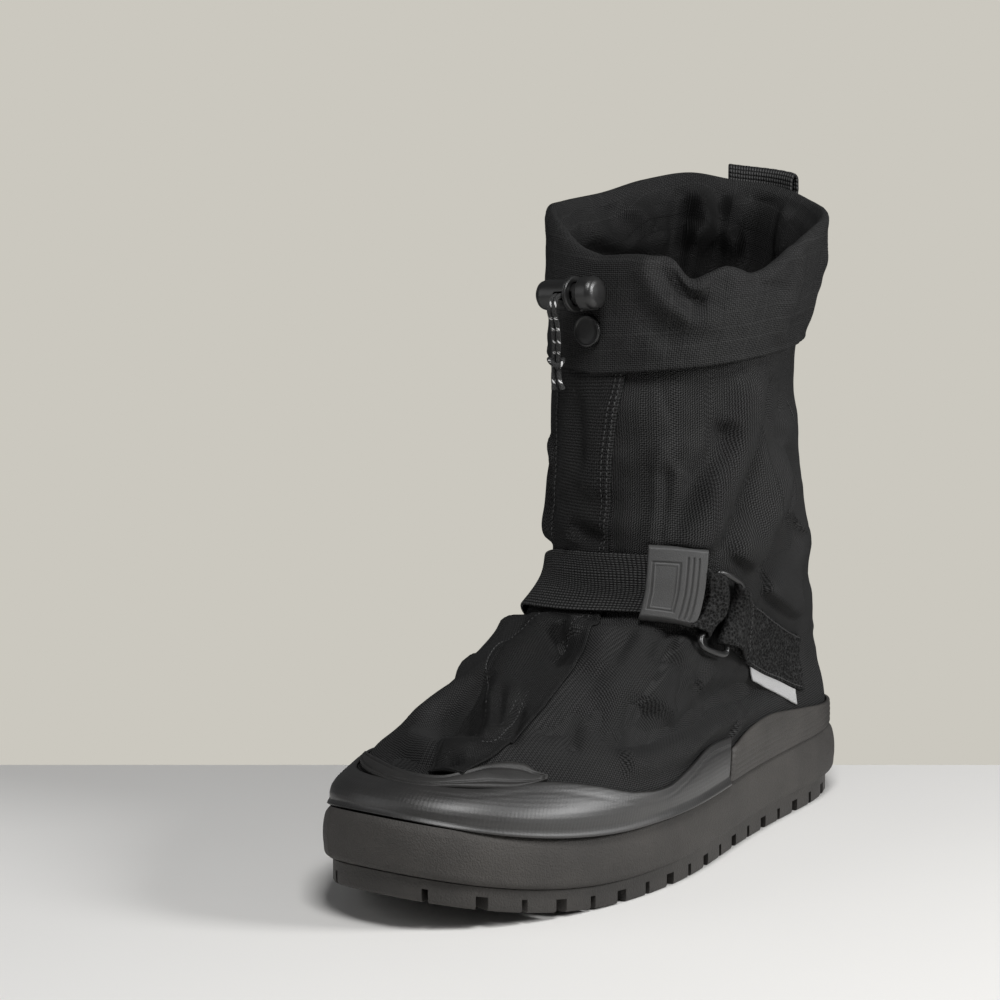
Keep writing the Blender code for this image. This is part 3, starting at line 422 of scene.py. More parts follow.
def textureNode(tree, kind, place, **values):
    # value of a noise or of a cell texture at a place
    node = addNode(tree, "ShaderNodeTex" + kind)
    feed(tree, node.inputs["Vector"], place)
    for label, value in values.items():
        feed(tree, node.inputs[label], value)
    return node.outputs[0]


def splitPlace(tree, place):
    # the three numbers of a place
    node = addNode(tree, "ShaderNodeSeparateXYZ")
    tree.links.new(place, node.inputs[0])
    return node.outputs


def startGroup(name, outputs, **inputs):
    # a group with a Vector input, then inputs by name with their usual values
    group = bpy.data.node_groups.new(name, "ShaderNodeTree")
    group.interface.new_socket(name="Vector", in_out="INPUT", socket_type="NodeSocketVector")
    for label, value in inputs.items():
        kind = "NodeSocketColor" if isinstance(value, tuple) else "NodeSocketFloat"
        group.interface.new_socket(name=label, in_out="INPUT", socket_type=kind).default_value = value
    for label in outputs:
        kind = "NodeSocketColor" if label == "Colour" else "NodeSocketFloat"
        group.interface.new_socket(name=label, in_out="OUTPUT", socket_type=kind)
    return group, addNode(group, "NodeGroupInput").outputs, partial(mathNode, group)


def endGroup(group, **values):
    # the group's outputs by name
    result = addNode(group, "NodeGroupOutput")
    for label, value in values.items():
        feed(group, result.inputs[label], value)
    return group


def makeWeaveGroup():
    # two sets of threads that cross; Slant steps each row along and makes a twill
    group, given, calc = startGroup("clothWeave", ("Height", "Shade"), Threads=1400.0, Slant=1.0,
                                    Unevenness=0.25)
    place = given["Vector"]
    split = splitPlace(group, place)
    noise = textureNode(group, "Noise", place, Scale=260.0, Detail=1.0)
    wander = calc("MULTIPLY", calc("SUBTRACT", noise, 0.5), given["Unevenness"])
    across = calc("ADD", calc("MULTIPLY", split[0], given["Threads"]), wander)
    upward = calc("ADD", calc("MULTIPLY", split[1], given["Threads"]), wander)
    slanted = calc("MULTIPLY", upward, given["Slant"])
    rib = calc("SINE", calc("MULTIPLY", calc("ADD", across, slanted), math.pi))
    thread = calc("SINE", calc("MULTIPLY", calc("SUBTRACT", across, slanted), math.pi))
    dots = calc("MULTIPLY", rib, thread)
    total = calc("ADD", calc("MULTIPLY", dots, 0.8), calc("MULTIPLY", rib, 0.28))
    fleck = textureNode(group, "Noise", place, Scale=700.0, Detail=1.0)
    total = calc("MULTIPLY", total, calc("MULTIPLY_ADD", fleck, 1.8, 0.3))
    height = calc("MULTIPLY_ADD", total, 0.85, 0.5, clamp=True)
    coarse = textureNode(group, "Noise", place, Scale=38.0, Detail=3.0)
    # the tone follows the threads' height: the weave's own pattern, with painted shade where the threads dip
    # and painted glints on their crests, mixed with a slow random tone
    shade = calc("ADD", calc("MULTIPLY", height, 0.75), calc("MULTIPLY", coarse, 0.25), clamp=True)
    return endGroup(group, Height=height, Shade=shade)


def makeWebbingGroup():
    # blocks of yarn in rows along the band, sunk between them: |sin| of both directions; as colour this
    # height gives painted shade between the blocks and painted highlight on them
    group, given, calc = startGroup("bandWeave", ("Height",), Column=0.0018, Row=0.0011)
    split = splitPlace(group, given["Vector"])
    noise = textureNode(group, "Noise", given["Vector"], Scale=300.0)
    wander = calc("MULTIPLY", calc("SUBTRACT", noise, 0.5), 0.9)
    waves = []
    for place, label, power in ((1, "Column", 0.55), (0, "Row", 0.8)):
        turn = calc("DIVIDE", split[place], given[label])
        wave = calc("SINE", calc("ADD", calc("MULTIPLY", turn, math.pi), wander))
        waves.append(calc("POWER", calc("ABSOLUTE", wave), power))
    return endGroup(group, Height=calc("MULTIPLY", *waves))


def makePileGroup():
    # hook or loop pile: pits between tangled threads; as colour, painted shade in the pits and painted
    # highlight on the threads
    group, given, calc = startGroup("tangledPile", ("Height",), Scale=900.0)
    cells = textureNode(group, "Voronoi", given["Vector"], Scale=given["Scale"])
    fine = textureNode(group, "Noise", given["Vector"], Scale=2600.0)
    pits = calc("MULTIPLY", cells, 1.3, clamp=True)
    height = calc("MULTIPLY", pits, calc("MULTIPLY_ADD", fine, 1.2, 0.3), clamp=True)
    return endGroup(group, Height=calc("POWER", height, 1.7))


def makeEmbossGroup():
    # small raised squares turned 45 degrees: sin(a + b) * sin(a - b)
    group, given, calc = startGroup("embossedCheck", ("Height",), Cell=0.0013)
    split = splitPlace(group, given["Vector"])
    parts = []
    for operation in ("ADD", "SUBTRACT"):
        turn = calc("DIVIDE", calc(operation, split[0], split[1]), given["Cell"])
        parts.append(calc("SINE", calc("MULTIPLY", turn, math.pi)))
    return endGroup(group, Height=calc("MULTIPLY_ADD", calc("MULTIPLY", *parts), 0.5, 0.5))


def makeRipGroup():
    # thicker threads in a square net, Pitch apart
    group, given, calc = startGroup("ripNet", ("Net",), Pitch=0.0065, Width=0.09)
    split = splitPlace(group, given["Vector"])
    lines = []
    for place in (0, 1):
        share = calc("FRACT", calc("DIVIDE", split[place], given["Pitch"]))
        away = calc("ABSOLUTE", calc("SUBTRACT", share, 0.5))
        lines.append(calc("SUBTRACT", 1.0, calc("DIVIDE", away, given["Width"]), clamp=True))
    return endGroup(group, Net=calc("MAXIMUM", *lines))


def makeDustGroup():
    # faint paler haze and specks
    group, given, calc = startGroup("softDust", ("Colour",), Colour=(0.02, 0.02, 0.02, 1),
                                    Dust=(0.12, 0.11, 0.1, 1), Amount=0.12)
    haze = textureNode(group, "Noise", given["Vector"], Scale=24.0, Detail=5.0, Roughness=0.65)
    specks = textureNode(group, "Voronoi", given["Vector"], Scale=420.0)
    dot = calc("LESS_THAN", specks, 0.1)
    cloud = calc("MULTIPLY", calc("SUBTRACT", haze, 0.42, clamp=True), 2.2)
    mask = calc("MULTIPLY", calc("ADD", cloud, calc("MULTIPLY", dot, 0.35)), given["Amount"], clamp=True)
    return endGroup(group, Colour=mixColour(group, mask, given["Colour"], given["Dust"]))


def makeGrainGroup():
    # fine pits and bumps of a moulded surface
    group, given, _ = startGroup("mouldGrain", ("Height",), Scale=1500.0)
    fine = textureNode(group, "Noise", given["Vector"], Scale=given["Scale"], Detail=2.0, Roughness=0.6)
    return endGroup(group, Height=fine)


weaveGroup, ripGroup, dustGroup = makeWeaveGroup(), makeRipGroup(), makeDustGroup()
grainGroup, bandGroup, pileGroup = makeGrainGroup(), makeWebbingGroup(), makePileGroup()
embossGroup = makeEmbossGroup()


def placeGroup(tree, group, **values):
    # a group in a material, its inputs given by name
    node = addNode(tree, "ShaderNodeGroup", node_tree=group)
    for label, value in values.items():
        feed(tree, node.inputs[label], value)
    return node.outputs


def startMaterial(name, settings):
    # a material whose plain inputs come from the settings, and its coordinates
    material = bpy.data.materials.new(name)
    material.use_nodes = True
    tree = material.node_tree
    shader = tree.nodes["Principled BSDF"].inputs
    shader["Sheen Roughness"].default_value = 0.45
    for label, key, usual in (("Roughness", "roughness", 0.5), ("Specular IOR Level", "specular", 0.4),
                              ("Coat Weight", "coat", 0.0), ("Coat Roughness", "coatRoughness", 0.3),
                              ("Sheen Weight", "sheen", 0.0)):
        shader[label].default_value = settings.get(key, usual)
    return material, tree, shader, addNode(tree, "ShaderNodeTexCoord").outputs


def joinBump(tree, shader, height, distance):
    # a height from 0 to 1, the distance in metres high, as a bump
    bump = addNode(tree, "ShaderNodeBump")
    bump.inputs["Strength"].default_value = 1.0
    bump.inputs["Distance"].default_value = distance
    tree.links.new(height, bump.inputs["Height"])
    tree.links.new(bump.outputs[0], shader["Normal"])


def finishMaterial(tree, shader, places, colour, height, settings):
    # dust over the colour, and the height as a bump
    dust = placeGroup(tree, dustGroup, Vector=places["Object"], Colour=colour, Amount=settings["dust"])
    tree.links.new(dust["Colour"], shader["Base Color"])
    joinBump(tree, shader, height, settings["depth"])


def clothMaterial(name, settings):
    # woven cloth: twill threads from the piece's own uv, haze of dust from its place
    material, tree, shader, places = startMaterial(name, settings)
    calc = partial(mathNode, tree)
    weave = placeGroup(tree, weaveGroup, Vector=places["UV"], Threads=settings["threads"],
                       Slant=settings["slant"], Unevenness=0.35)
    height = weave["Height"]
    colour = mixColour(tree, weave["Shade"], settings["dark"], settings["light"])
    if "ripPitch" in settings:
        net = placeGroup(tree, ripGroup, Vector=places["UV"], Pitch=settings["ripPitch"],
                         Width=settings["ripWidth"])
        halfNet = calc("MULTIPLY", net["Net"], 0.5)
        colour = mixColour(tree, halfNet, colour, settings["rip"])
        height = calc("ADD", height, halfNet)
    # painted shade: past a place along the uv's second number the colour darkens towards the dark tone, more
    # the further on; on the cuff this is the cloth inside the rim, where shade falls
    if "paintedShadeFrom" in settings:
        below = calc("SUBTRACT", splitPlace(tree, places["UV"])[1], settings["paintedShadeFrom"])
        deep = calc("DIVIDE", below, settings["paintedShadeRun"], clamp=True)
        colour = mixColour(tree, calc("MULTIPLY", deep, settings["paintedShadeShare"]), colour, settings["dark"])
    finishMaterial(tree, shader, places, colour, height, settings)
    return material


def bandMaterial(name, settings):
    # webbing or pile: one height field that also sets the colour: painted shade where it is low, painted
    # highlight where it is high
    material, tree, shader, places = startMaterial(name, settings)
    if "column" in settings:
        field = placeGroup(tree, bandGroup, Vector=places["UV"], Column=settings["column"],
                           Row=settings["row"])
    else:
        field = placeGroup(tree, pileGroup, Vector=places["Object"], Scale=settings["pile"])
    colour = mixColour(tree, field["Height"], settings["dark"], settings["light"])
    finishMaterial(tree, shader, places, colour, field["Height"], settings)
    return material


def mouldedMaterial(name, settings):
    # rubber or plastic: grain, uneven gloss and dust
    material, tree, shader, places = startMaterial(name, settings)
    mottle = textureNode(tree, "Noise", places["Object"], Scale=settings["mottle"], Detail=4.0)
    rough = mathNode(tree, "MULTIPLY_ADD", mottle, settings["roughSpread"],
                     settings["roughness"] - settings["roughSpread"] / 2, clamp=True)
    tree.links.new(rough, shader["Roughness"])
    height = placeGroup(tree, grainGroup, Vector=places["Object"], Scale=settings["grain"])["Height"]
    if "emboss" in settings:
        check = placeGroup(tree, embossGroup, Vector=places["UV"], Cell=settings["emboss"])
        height = mathNode(tree, "MULTIPLY_ADD", check["Height"], settings["embossShare"], height)
    colour = mixColour(tree, mottle, settings["dark"], settings["light"])
    finishMaterial(tree, shader, places, colour, height, settings)
    return material


def grey(value, warm=0.0):
    # linear grey, warmer where warm is above 0
    return (value * (1 + warm), value, value * (1 - warm), 1.0)


clothSettings = {"roughness": 0.7, "specular": 0.14, "threads": 960.0, "slant": -1.0,
                 "dark": grey(0.0002), "light": grey(0.047), "dust": 0.03, "depth": 0.0005}
# the cuff's ripstop, with painted shade on its inside below the rim
ripSettings = {"roughness": 0.6, "specular": 0.2, "threads": 1200.0, "slant": 1.0,
               "dark": grey(0.0006), "light": grey(0.034), "dust": 0.012, "depth": 0.0004,
               "ripPitch": 0.0065, "ripWidth": 0.05, "rip": grey(0.034),
               "paintedShadeFrom": 0.072, "paintedShadeRun": 0.022, "paintedShadeShare": 0.9}
# the front flap's cloth: the same cloth as the shell, painted darker as painted shade for a flap in shadow
flapShadedSettings = {"roughness": 0.55, "specular": 0.2, "threads": 1200.0, "slant": 1.0,
                "dark": grey(0.0006), "light": grey(0.022), "dust": 0.025, "depth": 0.0006}
labelSettings = {"roughness": 0.75, "specular": 0.3, "sheen": 0.1, "threads": 2200.0, "slant": 1.0,
                 "dark": grey(0.36), "light": grey(0.62), "dust": 0.12, "depth": 0.0002}
threadSettings = {"roughness": 0.5, "specular": 0.4, "sheen": 0.05, "threads": 3000.0, "slant": 1.0,
                  "dark": grey(0.016), "light": grey(0.05), "dust": 0.02, "depth": 0.0001}
webbingSettings = {"roughness": 0.6, "specular": 0.2, "column": 0.0018, "row": 0.0011,
                   "dark": grey(0.0003), "light": grey(0.060), "dust": 0.03, "depth": 0.0009}
loopSettings = {"roughness": 0.85, "specular": 0.08, "pile": 780.0,
                "dark": grey(0.0006), "light": grey(0.050), "dust": 0.03, "depth": 0.0009}
coatedSettings = {"roughness": 0.42, "roughSpread": 0.16, "specular": 0.45, "coat": 0.7,
                  "coatRoughness": 0.42, "grain": 2600.0, "mottle": 60.0, "dark": grey(0.012, 0.02),
                  "light": grey(0.022, 0.03), "dust": 0.14, "depth": 0.00012, "emboss": 0.0017,
                  "embossShare": 0.6}
patchSettings = {"roughness": 0.5, "roughSpread": 0.14, "specular": 0.4, "grain": 2200.0, "mottle": 70.0,
                 "dark": grey(0.014, 0.02), "light": grey(0.026, 0.03), "dust": 0.14, "depth": 0.0001}
midsoleSettings = {"roughness": 0.68, "roughSpread": 0.12, "specular": 0.3, "grain": 1300.0, "mottle": 42.0,
                   "dark": grey(0.030, 0.06), "light": grey(0.052, 0.07), "dust": 0.3, "depth": 0.0006}
outsoleSettings = {"roughness": 0.62, "roughSpread": 0.14, "specular": 0.3, "grain": 1100.0, "mottle": 60.0,
                   "dark": grey(0.028, 0.06), "light": grey(0.046, 0.06), "dust": 0.3, "depth": 0.0004}
counterSettings = {"roughness": 0.55, "roughSpread": 0.12, "specular": 0.4, "grain": 1600.0, "mottle": 50.0,
                   "dark": grey(0.030, 0.07), "light": grey(0.055, 0.08), "dust": 0.2, "depth": 0.0003}
tabSettings = {"roughness": 0.5, "roughSpread": 0.1, "specular": 0.4, "grain": 1800.0, "mottle": 70.0,
               "dark": grey(0.045), "light": grey(0.068), "dust": 0.1, "depth": 0.0002}
plasticSettings = {"roughness": 0.3, "roughSpread": 0.12, "specular": 0.5, "grain": 3000.0, "mottle": 90.0,
                   "dark": grey(0.010), "light": grey(0.019), "dust": 0.06, "depth": 0.00005}
boardSettings = {"roughness": 0.95, "roughSpread": 0.05, "specular": 0.2, "grain": 900.0, "mottle": 70.0,
                 "dark": grey(0.012), "light": grey(0.03), "dust": 0.2, "depth": 0.0004}

shellCloth = clothMaterial("shellCloth", clothSettings)
ripCloth = clothMaterial("ripCloth", ripSettings)
flapShadedCloth = clothMaterial("flapShadedCloth", flapShadedSettings)
webbingCloth = bandMaterial("webbingCloth", webbingSettings)
loopCloth = bandMaterial("loopCloth", loopSettings)
labelCloth = clothMaterial("labelCloth", labelSettings)
threadCloth = clothMaterial("threadCloth", threadSettings)
coatedRubber = mouldedMaterial("coatedRubber", coatedSettings)
patchRubber = mouldedMaterial("patchRubber", patchSettings)
midsoleFoam = mouldedMaterial("midsoleFoam", midsoleSettings)
outsoleRubber = mouldedMaterial("outsoleRubber", outsoleSettings)
counterRubber = mouldedMaterial("counterRubber", counterSettings)
tabRubber = mouldedMaterial("tabRubber", tabSettings)
lockPlastic = mouldedMaterial("lockPlastic", plasticSettings)
feltBoard = mouldedMaterial("feltBoard", boardSettings)


def cordMaterial(name, settings):
    # braid: two sets of slanted yarns round the cord, with pairs of pale flecks
    material, tree, shader, places = startMaterial(name, settings)
    calc = partial(mathNode, tree)
    split = splitPlace(tree, places["UV"])
    along = calc("MULTIPLY", split[0], settings["yarns"])
    around = calc("MULTIPLY", split[1], 8.0 / (math.pi * settings["diameter"] * mm))
    heights = [calc("ABSOLUTE", calc("SINE", calc("MULTIPLY", calc(operation, along, around), math.pi / 2)))
               for operation in ("ADD", "SUBTRACT")]
    height = calc("MAXIMUM", *heights)
    slanted = calc("ADD", split[0], calc("MULTIPLY", split[1], 0.6))
    share = calc("FRACT", calc("DIVIDE", slanted, settings["fleckPitch"]))
    pair = calc("MULTIPLY", calc("LESS_THAN", share, settings["fleckShare"]),
                calc("GREATER_THAN", heights[0], 0.55))
    quarter = calc("SINE", calc("MULTIPLY", around, math.pi / 2))
    fleck = calc("MULTIPLY", pair, calc("GREATER_THAN", quarter, 0.1))
    colour = mixColour(tree, height, settings["dark"], settings["light"])
    tree.links.new(mixColour(tree, fleck, colour, settings["fleck"]), shader["Base Color"])
    joinBump(tree, shader, height, settings["depth"])
    return material


# Drawcord: two strands from the eyelet across the lock to the knot and its ends
cord = {"diameter": 2.0, "yarns": 1100.0, "fleckPitch": 0.0066, "fleckShare": 0.24,
        "dark": grey(0.008), "light": grey(0.03), "fleck": grey(0.72), "roughness": 0.6, "specular": 0.4,
        "sheen": 0.1, "depth": 0.00025}
strandRoutes = {
    "drawcordA": ((-8.5, -113.9, 243.3), (-8.3, -117, 243.3), (-8.3, -123.5, 243.3),
                  (-8.4, -128.6, 242.9), (-9.3, -130.3, 239.2), (-11.5, -125.5, 231),
                  (-14.3, -120.6, 222), (-16.8, -117.4, 216.6), (-17.1, -117.3, 213.4),
                  (-17, -117.3, 210.4), (-17.2, -117.3, 207), (-17.2, -116.8, 201.6)),
    "drawcordB": ((-5.7, -113.9, 243.5), (-5.9, -117, 243.5), (-5.9, -123.5, 243.5),
                  (-6, -128.6, 243.1), (-6.9, -130.2, 239.4), (-9.1, -125.3, 231),
                  (-11.9, -120.5, 222), (-14.4, -117.4, 216.6), (-14.3, -117.3, 213.4),
                  (-14.2, -117.3, 210.4), (-13.8, -117.6, 207), (-12.2, -117.2, 202)),
}
knotCentre, knotReach = (-15.6, -117.2, 213.4), (3.5, 1.75, 1.35)
braidedCord = cordMaterial("braidedCord", cord)


def makeKnot():
    # an overhand knot drawn tight: a loop that crosses itself twice, x = cos t, z = sin 2t
    t = np.linspace(0.0, 2 * np.pi, 97)[:-1]
    path = np.stack((knotCentre[0] + knotReach[0] * np.cos(t),
                     knotCentre[1] + knotReach[1] * np.sin(t) - 0.35 * np.cos(2 * t),
                     knotCentre[2] + knotReach[2] * np.sin(2 * t + 0.5)), axis=1)
    rolled = np.concatenate((path[-2:], path, path[:2]))
    grid = tubeGrid(rolled, cord["diameter"] / 2 * 0.98, 16)[2:-2]
    uv = tubeUv(np.concatenate((path, path[:1])), math.pi * cord["diameter"], 16)
    knot = meshObject("cordKnot", grid, gridQuads(len(path), 16, True, True), cellUv(uv), tidy=True)
    return dress(knot, braidedCord, nodes=["cord_knot"])


def makeCords():
    # braided tubes: the radius swells where a yarn crosses over, and the end is frayed
    knot = makeKnot()
    for name, points in strandRoutes.items():
        path, sides = evenRoute(points, 0.3), 24
        length = runLength(path)
        around = np.arange(sides) / sides * 8.0
        along = length[:, None] * cord["yarns"] * mm
        yarn = np.maximum(*(np.abs(np.sin(place * np.pi / 2))
                            for place in (along + around, along - around)))
        radius = cord["diameter"] / 2 * (0.9 + 0.11 * yarn)
        tip = smoothStep(length[-1] - 2.4, length[-1], length)[:, None]
        rng = np.random.default_rng(5 if name.endswith("A") else 9)
        radius = radius * (1 + tip * (0.12 + 0.14 * rng.random(radius.shape)))
        tube = cappedTube(name, path, radius, sides, math.pi * cord["diameter"])
        nodes = ["drawcord_a", "cord_end_a"] if name.endswith("A") else ["drawcord_b", "cord_end_b"]
        dress(tube, braidedCord, nodes=nodes)
        print(f"{name}: {length[-1]:.1f} mm")


makeCords()
print("stage: cords made")

# Folds of the cloth. Each is (height, width to its left, width to its right, places),
# in mm, with its places from top to bottom as (turn, level). Above 0 it is a ridge.
outerFolds = (
    (2.8, 12, 3.5, ((0.105, 179), (0.088, 178), (0.078, 172), (0.078, 165), (0.075, 152), (0.068, 139),
                    (0.066, 130))),
    (-1.8, 3, 7, ((0.092, 174), (0.089, 165), (0.086, 156), (0.078, 143), (0.076, 134))),
    (-2.6, 6, 6, ((0.175, 190), (0.167, 184), (0.153, 175), (0.128, 165), (0.117, 156), (0.094, 143),
                  (0.086, 135))),
    (2.8, 9, 8, ((0.205, 208), (0.203, 203), (0.192, 180), (0.161, 164), (0.131, 147), (0.111, 137),
                 (0.1, 130))),
    (-2.6, 5, 5, ((0.262, 206), (0.256, 199), (0.233, 183), (0.214, 170), (0.197, 158), (0.178, 146),
                  (0.156, 135), (0.139, 127))),
    (3.2, 9, 8, ((0.292, 178), (0.286, 171), (0.267, 159), (0.244, 147), (0.211, 135), (0.183, 130),
                 (0.156, 124))),
    (-3, 7, 9, ((0.29, 205), (0.275, 190), (0.28, 175), (0.303, 166), (0.328, 151), (0.335, 140))),
    (-3.4, 12, 12, ((0.335, 138), (0.319, 133), (0.261, 127), (0.222, 120))),
    (-2.4, 18, 18, ((0.33, 236), (0.33, 222), (0.33, 205), (0.33, 180))),
    (2.5, 8, 8, ((0.24, 111), (0.256, 109), (0.32, 100), (0.394, 90))),
    (3.4, 7, 6, ((0.097, 101), (0.1, 93), (0.106, 85), (0.097, 79))),
    (-1.8, 4, 4, ((0.08, 100), (0.085, 93), (0.09, 87))),
    (-3.2, 8, 6, ((0.128, 101), (0.125, 94), (0.139, 88))),
    (3.8, 7, 4, ((0.144, 98), (0.15, 93), (0.175, 85), (0.203, 76))),
    (-3.8, 3, 4, ((0.174, 88), (0.178, 81), (0.183, 74), (0.186, 71))),
    (-1.8, 4, 4, ((0.078, 79), (0.086, 75), (0.094, 68), (0.097, 64))),
    (-1.4, 4, 4, ((0.06, 72), (0.078, 73), (0.086, 75))),
    (-2.6, 5, 5, ((0.089, 80), (0.103, 75), (0.128, 67), (0.153, 62), (0.172, 62), (0.2, 63), (0.244, 65),
                  (0.294, 63))),
    (-2.4, 7, 7, ((0.142, 78), (0.147, 71), (0.139, 66))),
    (2.6, 8, 8, ((0.16, 88), (0.165, 78), (0.17, 70))),
    (2.4, 7, 7, ((0.14, 59), (0.158, 58), (0.228, 57), (0.331, 56))),
    (-2.6, 5, 5, ((0.225, 76), (0.231, 73), (0.303, 66), (0.347, 60))),
)
frontFolds = (
    (1.2, 8, 8, ((0, 197), (0.058, 194), (0.092, 197))),
    (1.5, 7, 7, ((0.008, 202), (0.003, 176), (-0.008, 154))),
    (-1.5, 6, 6, ((-0.033, 202), (-0.028, 180), (-0.014, 167))),
    (2.2, 4, 5, ((-0.04, 139), (-0.033, 137), (-0.008, 131), (0.008, 130))),
    (-2, 5, 4, ((-0.044, 142), (-0.008, 138), (0.012, 136))),
    (3.6, 7, 7, ((-0.028, 101), (-0.006, 93), (-0.003, 89), (0.011, 82), (0.028, 74))),
    (-3.2, 4, 4, ((0.004, 102), (0.006, 99), (0.028, 94), (0.039, 88))),
    (2, 5, 5, ((0.011, 102), (0.031, 97))),
    (2.6, 8, 8, ((0.044, 102), (0.07, 94), (0.08, 86))),
    (-4, 4, 4, ((-0.002, 84), (0, 82), (0.017, 74), (0.028, 66))),
    (2, 4, 4, ((0.008, 82), (0.028, 72), (0.036, 65))),
    (-2.6, 3.5, 3.5, ((0.014, 82), (0.028, 76), (0.039, 69))),
    (1.6, 4, 4, ((0.022, 84), (0.033, 76), (0.047, 66))),
    (-1.6, 3, 3, ((0.036, 80), (0.047, 71), (0.05, 67))),
    (2.6, 8, 8, ((-0.017, 94), (-0.017, 90), (-0.019, 84), (-0.031, 78), (-0.036, 72), (-0.035, 66))),
    (-1.6, 6, 6, ((-0.022, 76), (0.006, 66))),
    (2.2, 6, 6, ((-0.04, 66), (-0.01, 64), (0.02, 63), (0.045, 65))),
    (-1.4, 4, 4, ((-0.03, 59), (0.008, 57), (0.036, 59))),
)
backFolds = (
    (-0.9, 2.5, 2.5, ((0.502, 214), (0.498, 170), (0.502, 120), (0.5, 60))),
    (-2.4, 7, 7, ((0.395, 116), (0.44, 108), (0.5, 104), (0.56, 109), (0.61, 117))),
    (2.4, 8, 8, ((0.4, 130), (0.45, 122), (0.5, 119), (0.55, 123), (0.6, 131))),
    (-2.2, 8, 8, ((0.42, 146), (0.5, 137), (0.57, 145))),
    (2, 9, 9, ((0.44, 200), (0.455, 176), (0.45, 156))),
    (-2.2, 8, 8, ((0.545, 206), (0.56, 180), (0.545, 158))),
    (2, 7, 7, ((0.4, 80), (0.5, 74), (0.6, 80))),
    (-1.8, 6, 6, ((0.39, 70), (0.5, 62), (0.61, 70))),
)


def mirrored(folds, back, share=0.7):
    # the same folds on the other side, a little lower, softer and further back
    return tuple((share * height, right, left, tuple((-turn * (1 + 5 * back) - back, level - 3)
                                                   for turn, level in places))
                 for height, left, right, places in folds)


def scaled(folds, gain):
    # each fold gain times as high, but never steeper than its narrower side allows
    slope, least = 0.75, 1.4
    return tuple((math.copysign(min(abs(height) * gain, slope * min(left, right) + least), height),
                  left, right, places) for height, left, right, places in folds)


foldGain = 3.0
clothFolds = scaled(outerFolds + mirrored(backFolds, 0.0, 0.35) + mirrored(outerFolds, 0.012), foldGain)
clothFolds = clothFolds + scaled(frontFolds, 0.85 * foldGain)


def nearLine(points, line, reach):
    # numbers of the points inside the line's box, widened by the reach
    inside = (points > line.min(axis=0) - reach) & (points < line.max(axis=0) + reach)
    return np.flatnonzero(np.all(inside, axis=1))


def nearestOn(line, upward, points):
    # for each point: number of the line's nearest place, distance, and whether it is below
    gap = points[:, None, :] - line[None, :, :]
    nearest = np.argmin((gap ** 2).sum(axis=2), axis=1)
    offset = gap[np.arange(len(points)), nearest]
    return nearest, np.linalg.norm(offset, axis=1), (offset * upward[nearest]).sum(axis=1) < 0


def foldLift(points, folds, base=0.0):
    # for each fold: height * exp(-(distance / width)^2), fading at the fold's two ends
    flat = points.reshape(-1, 3)
    total = np.zeros(len(flat))
    for height, left, right, places in folds:
        places = np.array(places, dtype=float)
        count = 12 * len(places)
        along = np.linspace(0.0, len(places) - 1.0, count)
        smooth = smoothRows(np.column_stack((np.arange(len(places)), places)), along)
        line = onUpper(smooth[:, 0], smooth[:, 1], np.full(count, base))
        reach = 2.4 * max(left, right)
        near = nearLine(flat, line, reach)
        if not len(near):
            continue
        tangent = np.gradient(line, axis=0)
        sideways = np.cross(normalAt(smooth[:, 0], smooth[:, 1]), tangent)
        nearest, distance, rightHand = nearestOn(line, sideways, flat[near])
        width = np.where(rightHand, right, left)
        share = nearest / (count - 1.0)
        ends = smoothStep(0.0, 0.22, share) * (1.0 - smoothStep(0.78, 1.0, share))
        total[near] += height * np.exp(-(distance / width) ** 2) * (0.12 + 0.88 * ends)
    return total.reshape(points.shape[:-1])


def softWaves(points, size, seed):
    # sum of sine waves in random directions, about size mm long, from -1 to 1 or so
    rng = np.random.default_rng(seed)
    total = np.zeros(points.shape[:-1])
    for _ in range(14):
        direction = rng.normal(size=3)
        direction /= np.linalg.norm(direction)
        wave = 2 * np.pi / (size * rng.uniform(0.7, 1.7))
        total += np.sin(points @ direction * wave + rng.uniform(0.0, 2 * np.pi))
    return total / 3.8


# Instep strap: its middle line over the upper, and the places along it in mm
strapPath = (
    (-0.36, 62), (-0.3, 75), (-0.22, 92), (-0.15, 106), (-0.09, 114),
    (0, 118.5), (0.06, 119.5), (0.1, 118.5), (0.14, 115), (0.19, 105.5),
    (0.24, 96.5), (0.32, 83), (0.42, 65), (0.46, 58),
)
strap = {"start": -108.0, "end": 44.0, "width": 27.0, "thickness": 1.4, "lift": 2.3, "sewnGap": 0.8,
         "tabStart": 27.5, "tabEnd": 54.5, "tabWidth": 35.8, "ringFront": 64.0, "ringBack": 76.0,
         "anchorEnd": 150.0, "labelStart": 98.0, "labelEnd": 141.0,
         "labelWidth": 6.6, "labelSide": -18.8, "ringBar": 2.6, "ringLength": 32.0,
         "ringLift": 5.0, "tailWidth": 27.0, "anchorFront": 26.0, "anchorBack": 24.0,
         "gap": 0.5, "clearance": 0.9}
leanRows = ((-200, 0, 0), (-20, 0, 0), (27.5, 2.5, -0.04), (54.5, 6.2, 0.18), (64, 8.2, 0.5),
            (79, 7.5, 0.5), (110, 5, 0.48), (150, 0, 0.48), (300, 0, 0.48))
dropRows = ((-200, 0), (50.5, 0), (51.5, -3.2), (66, -3.4), (79, -2), (110, -1.5), (150, -1.2),
            (300, 0))
strapTurns = np.linspace(strapPath[0][0], strapPath[-1][0], 400)
strapLevels = smoothRows(strapPath, strapTurns)[:, 0]
strapLine = onUpper(strapTurns, strapLevels, np.zeros(400))
strapLengths = runLength(strapLine)
strapLengths = strapLengths - np.interp(0.0, strapTurns, strapLengths)


def strapDrop(along):
    # how far the tail, the ring and the patch sit below the strap's middle line
    return np.interp(along, *zip(*dropRows))


